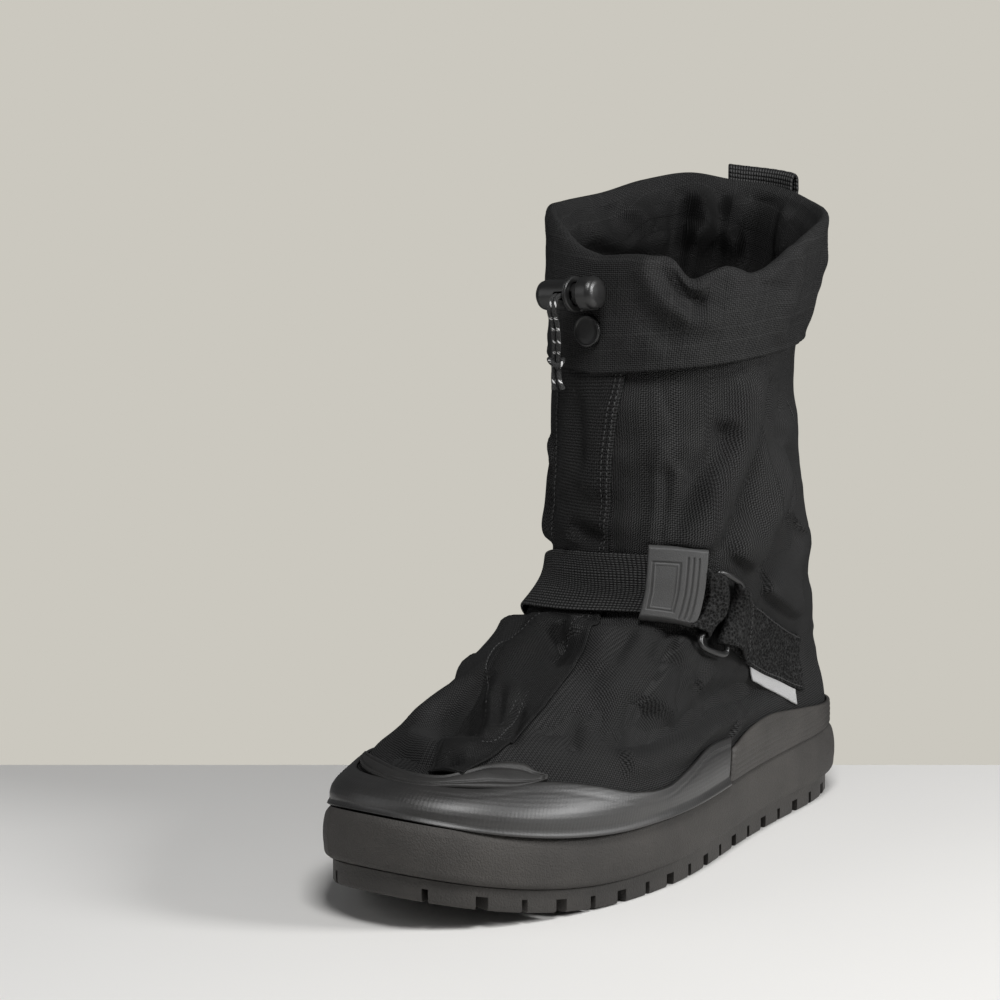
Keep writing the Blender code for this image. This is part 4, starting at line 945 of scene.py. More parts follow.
def onStrap(along, across, lift):
    # place beside the strap's middle line: mm along it, across it and outwards; the steps of
    # turn and level that lead straight sideways come from two equations
    along, across, lift = np.broadcast_arrays(*(np.asarray(v, dtype=float) for v in (along, across, lift)))
    lean = np.array(leanRows)
    across = across + strapDrop(along)
    along = (along - np.interp(along, lean[:, 0], lean[:, 1])
             - np.interp(along, lean[:, 0], lean[:, 2]) * across)
    turn = np.interp(along, strapLengths, strapTurns)
    level = np.interp(along, strapLengths, strapLevels)
    byTurn = (onUpper(turn + 0.002, level) - onUpper(turn - 0.002, level)) / 0.004
    byLevel = (onUpper(turn, level + 1.0) - onUpper(turn, level - 1.0)) / 2.0
    ahead, climb = ((np.interp(along + 1.0, strapLengths, values)
                     - np.interp(along - 1.0, strapLengths, values)) / 2
                    for values in (strapTurns, strapLevels))
    run = byTurn * ahead[..., None] + byLevel * climb[..., None]
    run /= np.linalg.norm(run, axis=-1, keepdims=True)
    side = np.cross(readTable(surfaceNormals, turn, level), run)
    side /= np.linalg.norm(side, axis=-1, keepdims=True)
    aa, ab, bb = ((p * q).sum(-1) for p, q in ((byTurn, byTurn), (byTurn, byLevel), (byLevel, byLevel)))
    sa, sb = (byTurn * side).sum(-1), (byLevel * side).sum(-1)
    root = aa * bb - ab * ab
    return onUpper(turn + across * (sa * bb - sb * ab) / root,
                   level + across * (sb * aa - sa * ab) / root, lift)


def strapPress(points):
    # distance from the strap's middle line, below it as negative, and the place along it
    flat = points.reshape(-1, 3)
    away = np.full(len(flat), 1e3)
    along = np.zeros(len(flat))
    near = nearLine(flat, strapLine, 60.0)
    tangent = np.gradient(strapLine, axis=0)
    upward = np.cross(normalAt(strapTurns, strapLevels), tangent)
    for part in np.array_split(near, max(1, len(near) // 8000)):
        nearest, distance, below = nearestOn(strapLine[::2], upward[::2], flat[part])
        away[part] = distance * np.where(below, -1.0, 1.0)
        along[part] = strapLengths[::2][nearest]
    return away.reshape(points.shape[:-1]), along.reshape(points.shape[:-1])


randTop = (
    (0, 49.5), (0.05, 50.5), (0.09, 54), (0.13, 51), (0.165, 46), (0.195, 44.5),
    (0.22, 48), (0.24, 51.5), (0.284, 51.5),
)
counterTop = ((0.287, 46), (0.31, 49.5), (0.34, 51.5), (0.4, 47.5), (0.45, 43), (0.5, 42))


def bandTop(turn):
    # top of the rubber bands round the foot, the rand in front and the counter behind
    away = 0.5 - np.abs(np.asarray(turn, dtype=float) % 1.0 - 0.5)
    shape = away.shape
    away = away.ravel()
    level = np.where(away < 0.2855, smoothRows(randTop, away)[:, 0],
                     smoothRows(counterTop, np.maximum(away, 0.287))[:, 0])
    return level.reshape(shape)


# Welts that the strap pulls up beside it: side (-1 below), height, place and width in mm
strapWelts = ((-1, 2.2, 27.0, 6.0), (-1, -2.4, 17.0, 3.5), (1, 1.2, 25.0, 6.0))
foldDepth, foldHeight = 6.0, 7.0  # no fold goes further in or out than this, in mm


def belowCuff(level):
    # 1 on the open cloth of the shaft, fading to 0 where the cuff covers it
    return 1 - smoothStep(222.0, 236.0, level)


def clothLift(turn, level):
    # lift of the cloth's face from its smooth shape: folds, slack waves, and the strap's pull
    turn, level = np.broadcast_arrays(np.asarray(turn, dtype=float), np.asarray(level, dtype=float))
    points = onUpper(turn, level, np.zeros(turn.shape))
    lift = foldLift(points, clothFolds)
    lift = lift + 0.55 * softWaves(points, 34.0, 3) + 0.16 * softWaves(points, 11.0, 8)
    away, along = strapPress(points)
    free = smoothStep(-70.0, -45.0, along) * (1.0 - smoothStep(60.0, 95.0, along))
    lift = lift + free * sum(height * hump(np.where(side * away > 0, side * away, 1e3), place, width)
                             for side, height, place, width in strapWelts)
    pressed = 1.0 - smoothStep(15.5, 20.0, np.abs(away))
    lift = lift * (1 - pressed) + pressed * np.clip(lift * 0.3, -1.2, 0.25)
    held = smoothStep(0.5, 7.0, level - bandTop(turn))
    return held * np.where(lift < 0, -foldDepth * np.tanh(-lift / foldDepth),
                           foldHeight * np.tanh(lift / foldHeight))


# Upper: outer cloth, rolled over at the rim, and its lining down to the sole
upperShape = {"columns": 450, "wall": 1.8, "outerRows": 172, "innerRows": 26}


def makeUpper():
    # one closed surface: rows up the outside, over the rim and down the inside
    columns = upperShape["columns"]
    turns = np.arange(columns) / columns
    share = np.linspace(0.0, 1.0, upperShape["outerRows"])
    outerLevels = 32.0 + (274.0 - 32.0) * (0.62 * share + 0.38 * share ** 2)
    innerLevels = np.linspace(274.0, 32.0, upperShape["innerRows"])
    outerTurn, outerLevel = np.meshgrid(turns, outerLevels)
    lift = clothLift(outerTurn, outerLevel)
    lift = lift * belowCuff(outerLevel)
    outer = onUpper(outerTurn, outerLevel, lift)
    innerTurn, innerLevel = np.meshgrid(turns, innerLevels)
    folded = foldLift(onUpper(innerTurn, innerLevel, np.zeros(innerTurn.shape)), clothFolds)
    folded = folded * belowCuff(innerLevel) * smoothStep(40.0, 60.0, innerLevel)
    inner = onUpper(innerTurn, innerLevel, -upperShape["wall"] + np.clip(folded, -5, 2) * 0.55 - 0.3)
    grid = np.concatenate((outer, inner))
    rows = len(grid)
    levels = np.concatenate((outerLevels, innerLevels, outerLevels[:1]))
    place = girthPlace(np.linspace(0.0, 0.999999, columns + 1)[None, :], levels[:, None]) * mm
    uv = cellUv(ringUv(grid, place))
    upper = meshObject("upperCloth", grid, gridQuads(rows, columns, True, True), uv)
    return dress(upper, shellCloth, nodes=["upper"])


makeUpper()
print("stage: upper made")

# Front flap over the closure, from under the cuff to the toe, with its seams
flapEdges = (
    (-0.078, 255, 0.042, 255),
    (-0.08, 205, 0.038, 209),
    (-0.083, 170, 0.024, 170),
    (-0.085, 132, 0.016, 133),
    (-0.07, 112, 0.024, 112),
    (-0.04, 98, 0.042, 99),
    (-0.02, 90, 0.054, 91),
    (-0.002, 80, 0.056, 81),
    (0.006, 71, 0.053, 71),
    (0.01, 63, 0.047, 62),
    (0.013, 56, 0.038, 54.5),
)
toePatchEdges = (
    (-0.062, 53.5, -0.062, 55),
    (-0.044, 51.8, -0.042, 55.6),
    (-0.025, 50.2, -0.022, 55.4),
    (0.003, 48.4, 0.003, 53.8),
    (0.022, 48.4, 0.026, 53.8),
    (0.038, 50, 0.037, 56),
    (0.056, 50.8, 0.052, 60),
    (0.07, 51.2, 0.068, 60),
    (0.081, 52.6, 0.08, 57.5),
    (0.091, 54.6, 0.09, 55.8),
)
flap = {"bottom": 0.5, "top": 1.8, "lap": 1.6, "rows": 240, "columns": 40, "length": 230.0, "width": 34.0,
        "seams": (3.2, 30.6)}
toePatch = {"length": 90.0, "width": 20.0, "rows": 130, "columns": 36, "gap": 0.6, "thickness": 1.5}


def edgeGrid(edges, along, across):
    # turns and levels between two edges of a table, at shares along and across it
    rows = np.array(edges, dtype=float)
    read = smoothRows(np.column_stack((np.arange(len(rows)), rows)), along * (len(rows) - 1.0))
    return (read[:, 0:1] * (1 - across) + read[:, 2:3] * across,
            read[:, 1:2] * (1 - across) + read[:, 3:4] * across)


def flapBase(turn, level):
    # the cloth under the flap, with a step where the flap laps over the toe patch
    return clothLift(turn, level) * belowCuff(level) + flap["lap"] * (1 - smoothStep(56.0, 63.0, level))


def makeFlap():
    # sheet over the cloth with rounded edges and a pressed line beside each seam
    along, riseAlong = edgeSteps(flap["length"], flap["rows"], 1.2)
    across, riseAcross = edgeSteps(flap["width"], flap["columns"], 1.0)
    turn, level = edgeGrid(flapEdges, along / flap["length"], (across / flap["width"])[None, :])
    rise = riseAlong[:, None] * riseAcross[None, :]
    first, last = flap["seams"]
    seam = 0.35 * hump(across, first, 0.7) + 0.3 * hump(across, last, 0.7)
    body = flap["top"] - flap["bottom"] - seam[None, :]
    share = np.clip((across - first) / (last - first), 0, 1)
    puff = 0.5 * np.sin(share * np.pi) * smoothStep(240.0, 200.0, level)
    base = flapBase(turn, level) + flap["bottom"]
    top = onUpper(turn, level, base + (body + puff) * rise)
    piece = sheetObject("frontFlap", top, onUpper(turn, level, base), gridUv(across[None, :], along[:, None]))
    return dress(piece, flapShadedCloth, nodes=["front_flap"])


def makeToePatch():
    # leaf-shaped coated patch with a raised double border
    long, wide = toePatch["length"], toePatch["width"]
    along, riseAlong = edgeSteps(long, toePatch["rows"], 0.9)
    across, riseAcross = edgeSteps(wide, toePatch["columns"], 0.9)
    turn, level = edgeGrid(toePatchEdges, along / long, (across / wide)[None, :])
    base = np.clip(clothLift(turn, level), -1.0, 1.5) + toePatch["gap"]
    fromEnd, fromSide = np.minimum(along, long - along), np.minimum(across, wide - across)
    fromEdge = np.minimum(fromEnd[:, None] * 1.2, fromSide[None, :])
    border = 0.3 * hump(fromEdge, 2.2, 1.2) - 0.45 * hump(fromEdge, 5.0, 0.9)
    belly = 0.8 * np.sin(across / wide * np.pi)[None, :] * np.sin(along / long * np.pi)[:, None]
    rise = np.minimum(riseAlong[:, None], riseAcross[None, :])
    top = onUpper(turn, level, base + (toePatch["thickness"] + border + belly) * rise)
    piece = sheetObject("toePatch", top, onUpper(turn, level, base), gridUv(across[None, :], along[:, None]))
    return dress(piece, patchRubber, nodes=["toe_patch"])


makeFlap()
makeToePatch()
print("stage: flap and toe patch made")

# Rubber bands on the sole: the embossed rand in front, the ribbed counter behind
bandFoot = 31.7
rand = {"end": 0.284, "foot": 2.0, "bulge": 1.8, "columns": 440, "rows": 26}
counter = {"ribPitch": 2.3, "ribHeight": 0.32, "columns": 240}


def bandPlaces(turns, share):
    # turns and levels of a band at shares of its height, and the level of its top
    top = bandTop(turns)
    level = bandFoot + (top[:, None] - bandFoot) * share[None, :]
    return np.repeat(turns[:, None], len(share), axis=1), level, top


def makeRand():
    # band with a pressed line under its top, a foot, and a bulge that fades behind the toe;
    # its face is a cubic in the share of its height, and the emboss is in its material
    turns = np.linspace(-rand["end"], rand["end"], rand["columns"])
    share, rise = edgeSteps(20.0, rand["rows"], 0.8)
    share = share / 20.0
    turn, level, top = bandPlaces(turns, share)
    place = onUpper(turn, level)
    run = runLength(place[:, 10])
    up = level - bandFoot
    fromTop = top[:, None] - level
    relief = -0.16 * hump(fromTop, 4.0, 0.6)
    relief = relief + rand["foot"] * (1 - smoothStep(0.0, 4.5, up))
    relief = relief + rand["bulge"] * hump(up, 8.0, 6.5) * (1 - smoothStep(0.12, 0.26, np.abs(turn)))
    quiet = rise[None, :] ** 2
    ends = smoothStep(0.0, 1.5, np.minimum(run, run[-1] - run))[:, None]
    bottomFace = onUpper(turn, level, np.full(turn.shape, 0.7))
    powers = np.vander(share, 4)
    face = onUpper(turn, level, np.full(turn.shape, 2.0))
    evened = np.einsum("ij,cjk->cik", powers @ np.linalg.pinv(powers), face)
    evened = evened + normalAt(turn, level) * relief[..., None]
    topFace = bottomFace + (evened - bottomFace) * np.sqrt(quiet * ends)[..., None]
    topFace[[0, -1]] = bottomFace[[0, -1]]
    topFace[:, [0, -1]] = bottomFace[:, [0, -1]]
    piece = sheetObject("randBand", topFace, bottomFace, gridUv(run[:, None], up))
    return dress(piece, coatedRubber, nodes=["rand"])


def makeCounter():
    # band round the heel with level ribs: rib = |sin| of the height
    turns = np.linspace(0.287, 0.713, counter["columns"])
    share, rise = edgeSteps(16.0, 56, 0.8)
    share = share / 16.0
    turn, level, _ = bandPlaces(turns, share)
    ribs = counter["ribHeight"] * np.abs(np.sin(level * np.pi / counter["ribPitch"])) ** 0.7
    ends = np.clip(np.minimum(np.arange(len(turns)), np.arange(len(turns))[::-1]) / 3.0, 0, 1)[:, None]
    topFace = onUpper(turn, level, 0.7 + (1.3 + ribs) * rise[None, :] * np.sqrt(ends))
    bottomFace = onUpper(turn, level, np.full(turn.shape, 0.7))
    uv = np.stack((turn * 0.45, level * mm), axis=-1)
    piece = sheetObject("heelCounter", topFace, bottomFace, uv)
    return dress(piece, counterRubber, nodes=["heel_counter"])


makeRand()
makeCounter()
print("stage: rand and heel counter made")

# Midsole band and lugged outsole
midsole = {"profile": ((3.0, 10.2), (1.3, 11.2), (0.2, 16.0), (0.0, 20.5), (0.5, 26.0), (1.5, 29.6),
                       (3.2, 31.9)),
           "columns": 620, "seamTurn": 0.968}
outsole = {"inset": 4.0, "thickness": 9.9, "notches": 18, "firstY": -250.5, "pitch": 16.3,
           "widths": (2.2, 5.0), "height": 5.6, "depth": 15.0, "columns": 900,
           "grooveWidth": 3.2, "grooveDepth": 3.0}
grooveHalfLengths = {-234.0: 16.0, -217.7: 24.0, -201.4: 30.0, -185.1: 33.0, -168.8: 34.0, -152.5: 34.0,
                     -119.9: 31.0, -103.6: 27.0, -38.4: 17.0, -22.1: 16.0, 26.8: 14.0}


def soleSection(inset):
    # the sole's outline, moved inwards by the inset
    return (sole["toeY"] + inset, sole["ballY"], sole["heelY"] - inset, sole["width"] / 2 + 2.0 - inset,
            sole["width"] / 2 - 2.0 - inset, sole["heelWidth"] / 2 - inset, 2.25, 3.6, sole["toeSwing"], 1.0)


def soleRing(inset, height, turns):
    # ring of the sole at a height above the sprung ground line
    plan = outlineAt(soleSection(inset), turns)
    return np.column_stack((plan, height + toeSpring(plan[:, 1])))


def soleSpine(plan):
    # nearest place on a line down the middle of the sole, for closing its flat faces
    y = np.clip(plan[:, 1], sole["toeY"] + 48.0, sole["heelY"] - 38.0)
    front = -sole["toeSwing"] * smoothStep(sole["ballY"] + 40.0, sole["toeY"], y)
    return np.column_stack((front, y))


def towardSpine(plan, spine, share, height):
    # a ring moved by a share of its way to the spine, at a height above the sprung ground line
    flat = plan * (1 - share) + spine * share
    return np.column_stack((flat, height + toeSpring(flat[:, 1])))


def makeMidsole():
    # band whose side follows the profile, closed to a spine above and below
    turns = np.arange(midsole["columns"]) / midsole["columns"]
    rows = np.array(midsole["profile"])
    places = runLength(rows)
    fine = smoothRows(np.column_stack((places, rows)), np.linspace(0.0, places[-1], 34))
    seam = np.exp(-((turns - midsole["seamTurn"]) * 760.0 / 0.9) ** 2)
    rings = []
    for inset, height in fine:
        ring = soleRing(inset, height, turns)
        away = soleRing(inset - 1.0, height, turns) - ring
        rings.append(ring + away * (0.55 * seam)[:, None])
    edge = np.array(rings)
    closed = []
    for ring in (edge[0], edge[-1]):
        plan, height = ring[:, :2], ring[:, 2] - toeSpring(ring[:, 1])
        closed.append(np.array([towardSpine(plan, soleSpine(plan), share, height)
                                for share in (0.08, 0.3, 0.6, 1.0)]))
    grid = np.concatenate((closed[0][::-1], edge, closed[1]))
    run = np.arange(midsole["columns"] + 1) / midsole["columns"] * 0.76
    up = np.arange(len(grid)) * 0.001
    uv = np.stack(np.broadcast_arrays(run[None, :], up[:, None]), axis=-1)
    quads = gridQuads(len(grid), midsole["columns"], False, True)
    piece = meshObject("midsole.band", grid, quads, cellUv(uv), sharp=50, tidy=True)
    return dress(piece, midsoleFoam, nodes=["midsole"])


def notchMask(plan):
    # 1 in the columns of the side notches, every pitch along the foot
    depth = np.zeros(len(plan))
    tangent = np.roll(plan, -1, axis=0) - np.roll(plan, 1, axis=0)
    tangent /= np.linalg.norm(tangent, axis=1, keepdims=True)
    turns = np.arange(len(plan)) / len(plan)
    for number in range(outsole["notches"]):
        y = outsole["firstY"] + outsole["pitch"] * number
        for side in (turns < 0.5, turns > 0.5):
            spot = np.flatnonzero(side)[np.argmin(np.abs(plan[side, 1] - y))]
            near = np.abs((plan - plan[spot]) @ tangent[spot]) < outsole["widths"][number % 2] / 2
            near &= np.linalg.norm(plan - plan[spot], axis=1) < 12.0
            depth[near] = 1.0
    return depth


def treadDepth(plan):
    # grooves across the middle of the tread, each fading at its two ends
    x, y = plan[..., 0], plan[..., 1]
    depth = np.zeros(x.shape)
    wide = outsole["grooveWidth"] / 2
    for centre, half in grooveHalfLengths.items():
        inside = smoothStep(wide + 0.4, wide - 0.4, np.abs(y - centre))
        depth = np.maximum(depth, inside * smoothStep(half + 0.6, half - 0.6, np.abs(x + 1.0)))
    return depth * outsole["grooveDepth"]


def makeOutsole():
    # side wall with notches cut in from its lower edge, then the grooved tread
    count = outsole["columns"] * 3
    turns = np.arange(count) / count
    plan = outlineAt(soleSection(outsole["inset"]), turns)
    cutIn = notchMask(plan)
    steps = np.flatnonzero(np.diff(cutIn))
    keep = np.zeros(count, dtype=bool)
    keep[::3] = True
    keep[steps] = keep[steps + 1] = True
    turns, plan, cutIn = turns[keep], plan[keep], cutIn[keep]
    spine = soleSpine(plan)
    toSpine = spine - plan
    reach = np.linalg.norm(toSpine, axis=1, keepdims=True)
    inward = toSpine / reach
    deep, top, side = cutIn * outsole["depth"], outsole["thickness"], outsole["height"]
    rings = []
    for inset, height, share in (
            (0.0, top, 1.0), (0.0, top, 0.5), (0.0, top, 0.1), (0.25, top, 0.0), (0.0, top - 0.3, 0.0),
            (0.0, side + 0.35, 0.0), (0.15 * cutIn, side, 0.0), (deep, side, 0.0), (deep, 1.2, 0.0),
            (deep + 0.5, 0.25, 0.0), (deep + 1.2, 0.0, 0.0)):
        moved = plan + inward * np.asarray(inset, dtype=float).reshape(-1, 1)
        rings.append(towardSpine(moved, spine, share, height))
    start = rings[-1][:, :2]
    for share in np.concatenate((np.linspace(0.03, 0.97, 42), [1.0])):
        flat = start * (1 - share) + spine * share
        lift = treadDepth(flat) * smoothStep(0.0, 0.05, share)
        rings.append(np.column_stack((flat, toeSpring(flat[:, 1]) + lift)))
    grid = np.array(rings)[::-1]
    columns = grid.shape[1]
    run = np.append(turns, 1.0) * 0.74
    uv = np.stack(np.broadcast_arrays(run[None, :], np.arange(len(grid))[:, None] * 0.001), axis=-1)
    piece = meshObject("outsole.lugs", grid, gridQuads(len(grid), columns, False, True), cellUv(uv), sharp=38,
                       tidy=True)
    return dress(piece, outsoleRubber, nodes=["outsole"])


makeMidsole()
makeOutsole()
print("stage: sole made")

# Cuff turned down outside the shaft, with its lining inside the rim
cuff = {"columns": 440, "thickness": 1.3, "innerBottom": 226.0, "foldLevel": 272.0}
pullLoop = {"turn": 0.53, "halfTurn": 0.035, "seat": 0.7}
cuffFolds = (
    (3.6, 5, 6, ((0.05, 260), (0.054, 257), (0.058, 254), (0.067, 248), (0.081, 242), (0.097, 237),
                 (0.113, 234), (0.133, 235), (0.15, 239))),
    (-3.4, 4, 5, ((0.07, 260), (0.076, 255), (0.084, 249), (0.097, 243), (0.111, 240), (0.128, 239))),
    (2.6, 4, 4, ((0.092, 256), (0.098, 250), (0.108, 247), (0.12, 246))),
    (-1.8, 6, 6, ((0.04, 244), (0.052, 237), (0.066, 232), (0.085, 228), (0.11, 226))),
    (-1.2, 3, 3, ((0.165, 252), (0.178, 248), (0.206, 245), (0.247, 241))),
    (-1.6, 4, 4, ((0.232, 262), (0.24, 256), (0.258, 247), (0.267, 238))),
    (1.2, 8, 8, ((0.262, 250), (0.255, 234), (0.247, 218))),
    (-1.8, 9, 9, ((0.3, 262), (0.295, 238), (0.28, 216))),
    (1.4, 9, 9, ((0.05, 220), (0.11, 217), (0.18, 221))),
    (-2.5, 7, 7, ((0.4, 262), (0.42, 240), (0.43, 222))),
    (1.4, 8, 8, ((0.36, 262), (0.37, 240), (0.36, 222))),
    (-2.6, 6, 7, ((0.62, 275), (0.61, 250), (0.6, 222))),
    (2.2, 8, 8, ((0.66, 272), (0.67, 248), (0.68, 222))),
    (-2.4, 7, 7, ((0.74, 272), (0.735, 248), (0.75, 220))),
    (2.4, 9, 8, ((0.8, 272), (0.79, 246), (0.8, 218))),
    (-2.6, 6, 6, ((0.86, 274), (0.85, 248), (0.84, 218))),
    (-2, 7, 7, ((0.9, 272), (0.905, 248), (0.9, 216))),
    (-1.6, 4, 5, ((0.94, 268), (0.936, 248), (0.934, 216))),
)
liningFolds = (
    (-3.4, 5, 5, ((0.622, 284), (0.622, 267), (0.625, 256), (0.625, 245), (0.61, 232))),
    (3.8, 6, 6, ((0.606, 284), (0.597, 270), (0.589, 262), (0.6, 257), (0.622, 257))),
    (-3.4, 5, 5, ((0.572, 284), (0.569, 265), (0.569, 249), (0.58, 236))),
    (3.6, 6, 6, ((0.55, 280), (0.558, 271), (0.564, 258), (0.545, 252), (0.525, 252))),
    (-3.8, 8, 8, ((0.505, 276), (0.512, 258), (0.5, 240))),
    (2.4, 6, 6, ((0.472, 273), (0.476, 256), (0.46, 246))),
    (2.4, 7, 7, ((0.8, 262), (0.761, 260), (0.708, 254), (0.653, 255), (0.64, 262))),
    (-3, 6, 6, ((0.8, 252), (0.745, 248), (0.7, 245), (0.66, 248))),
    (2, 7, 7, ((0.7, 282), (0.69, 268), (0.665, 258))),
    (-2, 7, 7, ((0.74, 280), (0.73, 268), (0.735, 258))),
    (-2.2, 6, 6, ((0.88, 276), (0.875, 256), (0.87, 236))),
    (2.4, 7, 7, ((0.84, 276), (0.83, 256), (0.82, 238))),
    (-2.2, 6, 6, ((0.36, 266), (0.365, 250), (0.37, 236))),
    (2.2, 7, 7, ((0.31, 262), (0.315, 248), (0.32, 234))),
    (2.6, 4, 5, ((0.07, 262), (0.1, 256), (0.14, 258), (0.18, 258))),
)


cuffFolds, liningFolds = scaled(cuffFolds, 1.25), scaled(liningFolds, 1.6)


def fromHeights(folds):
    # places given at heights above the floor, turned into levels of the surface
    changed = []
    for height, left, right, places in folds:
        rim = smoothRows(rimRows, np.array([turn % 1.0 for turn, _ in places]))[:, 0]
        tops = [(turn, shaftLevel + (rimLevel - shaftLevel) * (up - shaftLevel) / (edge - shaftLevel))
                for (turn, up), edge in zip(places, rim)]
        changed.append((height, left, right, tuple(tops)))
    return tuple(changed)


def cuffBottom(turn):
    # level of the cuff's loose edge
    rows = ((0.0, 209.0), (0.18, 215.0), (0.5, 215.0), (0.82, 213.0), (1.0, 209.0))
    turn = np.asarray(turn, dtype=float) % 1.0
    return smoothRows(rows, turn.ravel())[:, 0].reshape(turn.shape)


def cuffLift(turn, level):
    # lift of the cuff's outer face: a soft belly, and a flare at its loose edge behind
    turn = np.asarray(turn, dtype=float) % 1.0
    bottom = cuffBottom(turn)
    part = np.clip((np.asarray(level, dtype=float) - bottom) / (rimLevel - bottom), 0.0, 1.0)
    flare = 2.4 * hump(turn, 0.50, 0.10)
    return 3.6 + 1.0 * np.sin(part * np.pi) + flare * (1.0 - smoothStep(0.4, 1.0, part))


def fromTurn(turn, middle):
    # distance from a turn, the short way round
    return (np.asarray(turn) - middle + 0.5) % 1.0 - 0.5


def cuffRelief(turn, level):
    # folds of the cuff's outer face, kept clear of the shaft and of the parts sewn on it
    points = onUpper(turn, level, np.full(np.shape(turn), 4.0))
    lift = foldLift(points, fromHeights(cuffFolds), 4.0)
    lift = lift + 0.7 * softWaves(points, 30.0, 21) + 0.2 * softWaves(points, 9.0, 22)
    quiet = np.exp(-(fromTurn(turn, -0.018) / 0.032) ** 4)
    loop = np.exp(-((np.asarray(turn) - pullLoop["turn"]) / 0.055) ** 4)
    part = np.clip((level - cuffBottom(turn)) / 60.0, 0.0, 1.0)
    slack = (4.6 - 3.0 * part) * hump(np.asarray(turn) % 1.0, 0.335, 0.09)
    slack = slack + 2.0 * hump(np.asarray(turn) % 1.0, 0.9, 0.05)
    lift = (lift - slack) * (1 - 0.85 * quiet) * (1 - 0.9 * loop)
    shaftFace = clothLift(turn, level) * belowCuff(level)
    overFlap = np.exp(-(fromTurn(turn, -0.02) / 0.075) ** 8)
    least = shaftFace + 0.3 + cuff["thickness"] + 1.7 * overFlap
    return np.maximum(lift, least - cuffLift(turn, level))


def makeCuff():
    # closed ring: up the outside, over the rim, down the inside, and back behind it
    turns = np.arange(cuff["columns"]) / cuff["columns"]
    bottom, fold = cuffBottom(turns), cuff["foldLevel"]
    grids = []
    share = np.linspace(0.0, 1.0, 74)[:, None]
    level = bottom + (fold - bottom) * share
    turn = np.broadcast_to(turns, level.shape)
    relief = cuffRelief(turn, level)
    outer = cuffLift(turn, level) + relief
    hem = 0.45 * hump(level - bottom, 1.2, 1.2)
    grids.append((turn, level, outer + hem))
    angle = np.linspace(0.0, np.pi, 13)[1:-1, None]
    topLift = (outer[-1] - 4.0) / 2
    halfGap = (outer[-1] + 4.0) / 2
    over = topLift + halfGap * np.cos(angle)
    rise = fold + 5.2 * np.sin(angle) + 0 * topLift
    grids.append((np.broadcast_to(turns, over.shape), rise, over))
    share = np.linspace(0.0, 1.0, 46)[:, None]
    level = fold + (cuff["innerBottom"] - fold) * share + 0 * turns
    turn = np.broadcast_to(turns, level.shape)
    points = onUpper(turn, level, np.full(level.shape, -4.0))
    inward = foldLift(points, fromHeights(liningFolds), -4.0) + 0.6 * softWaves(points, 24.0, 31)
    inward = inward * smoothStep(0.0, 0.12, share)
    base = -4.0 - 2.2 * smoothStep(0.0, 0.15, share)
    inward = np.where(inward < 0, -2.4 * np.tanh(-inward / 2.4), inward)
    grids.append((turn, level, base - inward))
    back = grids[-1][2][::3][::-1] + cuff["thickness"]
    grids.append((turn[::3][::-1], level[::3][::-1], np.minimum(back, -2.2)))
    share = np.linspace(1.0, 0.0, 26)[:, None]
    level = bottom + (fold + 1.0 - bottom) * share
    turn = np.broadcast_to(turns, level.shape)
    under = cuffLift(turn, level) + cuffRelief(turn, level) - cuff["thickness"]
    grids.append((turn, level, under))
    grid = np.concatenate([onUpper(*piece) for piece in grids])
    uv = cellUv(ringUv(grid, np.linspace(0.0, 1.0, len(turns) + 1) * 0.345))
    piece = meshObject("cuffCloth", grid, gridQuads(len(grid), len(turns), True, True), uv)
    return dress(piece, ripCloth, nodes=["cuff"])


makeCuff()
print("stage: cuff made")


# Strap parts: webbing, moulded tab, tail, ring and its anchor
def bandAcross(columns):
    # shares across a band from -1 to 1, closer together at its two edges
    return np.concatenate(([-1.0, -0.985], np.linspace(-0.96, 0.96, columns), [0.985, 1.0]))


def bandRibs(length, columns):
    # ribs across a band, |sin| of the way along it; in every second column half a rib further
    step = 0.5 * np.pi * (np.floor(columns) % 2)[None, :]
    return 0.16 * (np.abs(np.sin(length[:, None] * np.pi / 1.3 + step)) - 0.5)


def bandFaces(line, across, relief, placeAt):
    # two faces of a band along (along, lift) places; relief is added to both of them
    run = np.gradient(line, axis=0)
    run /= np.linalg.norm(run, axis=1, keepdims=True)
    offset = np.column_stack((-run[:, 1], run[:, 0]))
    faces = []
    for sign in (1, -1):
        thick = sign * (strap["thickness"] / 2 * bandEdge(across)[None, :] + relief)
        places = line[:, None, :] + offset[:, None, :] * thick[..., None]
        faces.append(placeAt(places[..., 0], places[..., 1]))
    faces[0][[0, -1]] = faces[1][[0, -1]] = (faces[0][[0, -1]] + faces[1][[0, -1]]) / 2
    return faces


def bandEdge(across):
    # 1 over the band, falling to 0 in a quarter round at its edges
    return np.sqrt(np.maximum(1.0 - np.clip((np.abs(across) - 0.93) / 0.07, 0.0, 1.0) ** 2, 0.0))


def ribbonObject(name, line, half):
    # webbing: ribs across the band, with thicker yarns running along it
    line = evenRoute(line, 0.42)
    length, across = runLength(line), bandAcross(40)
    relief = bandRibs(length, (across + 1) * half / 1.8) * smoothStep(1.0, 0.94, np.abs(across))[None, :]
    faces = bandFaces(line, across, relief, lambda along, lift: onStrap(along, half * across[None, :], lift))
    return sheetObject(name, *faces, gridUv((across[None, :] + 1) * half, length[:, None]))


def makeStrap():
    # webbing, sewn flat at its inner end and lifted clear of the cloth elsewhere
    middle = strap["lift"] + strap["thickness"] / 2
    low = strap["sewnGap"] + strap["thickness"] / 2
    line = [(along, low + (middle - low) * float(smoothStep(-52.0, -36.0, along)))
            for along in np.linspace(strap["start"], strap["end"], 60)]
    piece = ribbonObject("strapWebbing", line, strap["width"] / 2)
    return dress(piece, webbingCloth, nodes=["strap"])


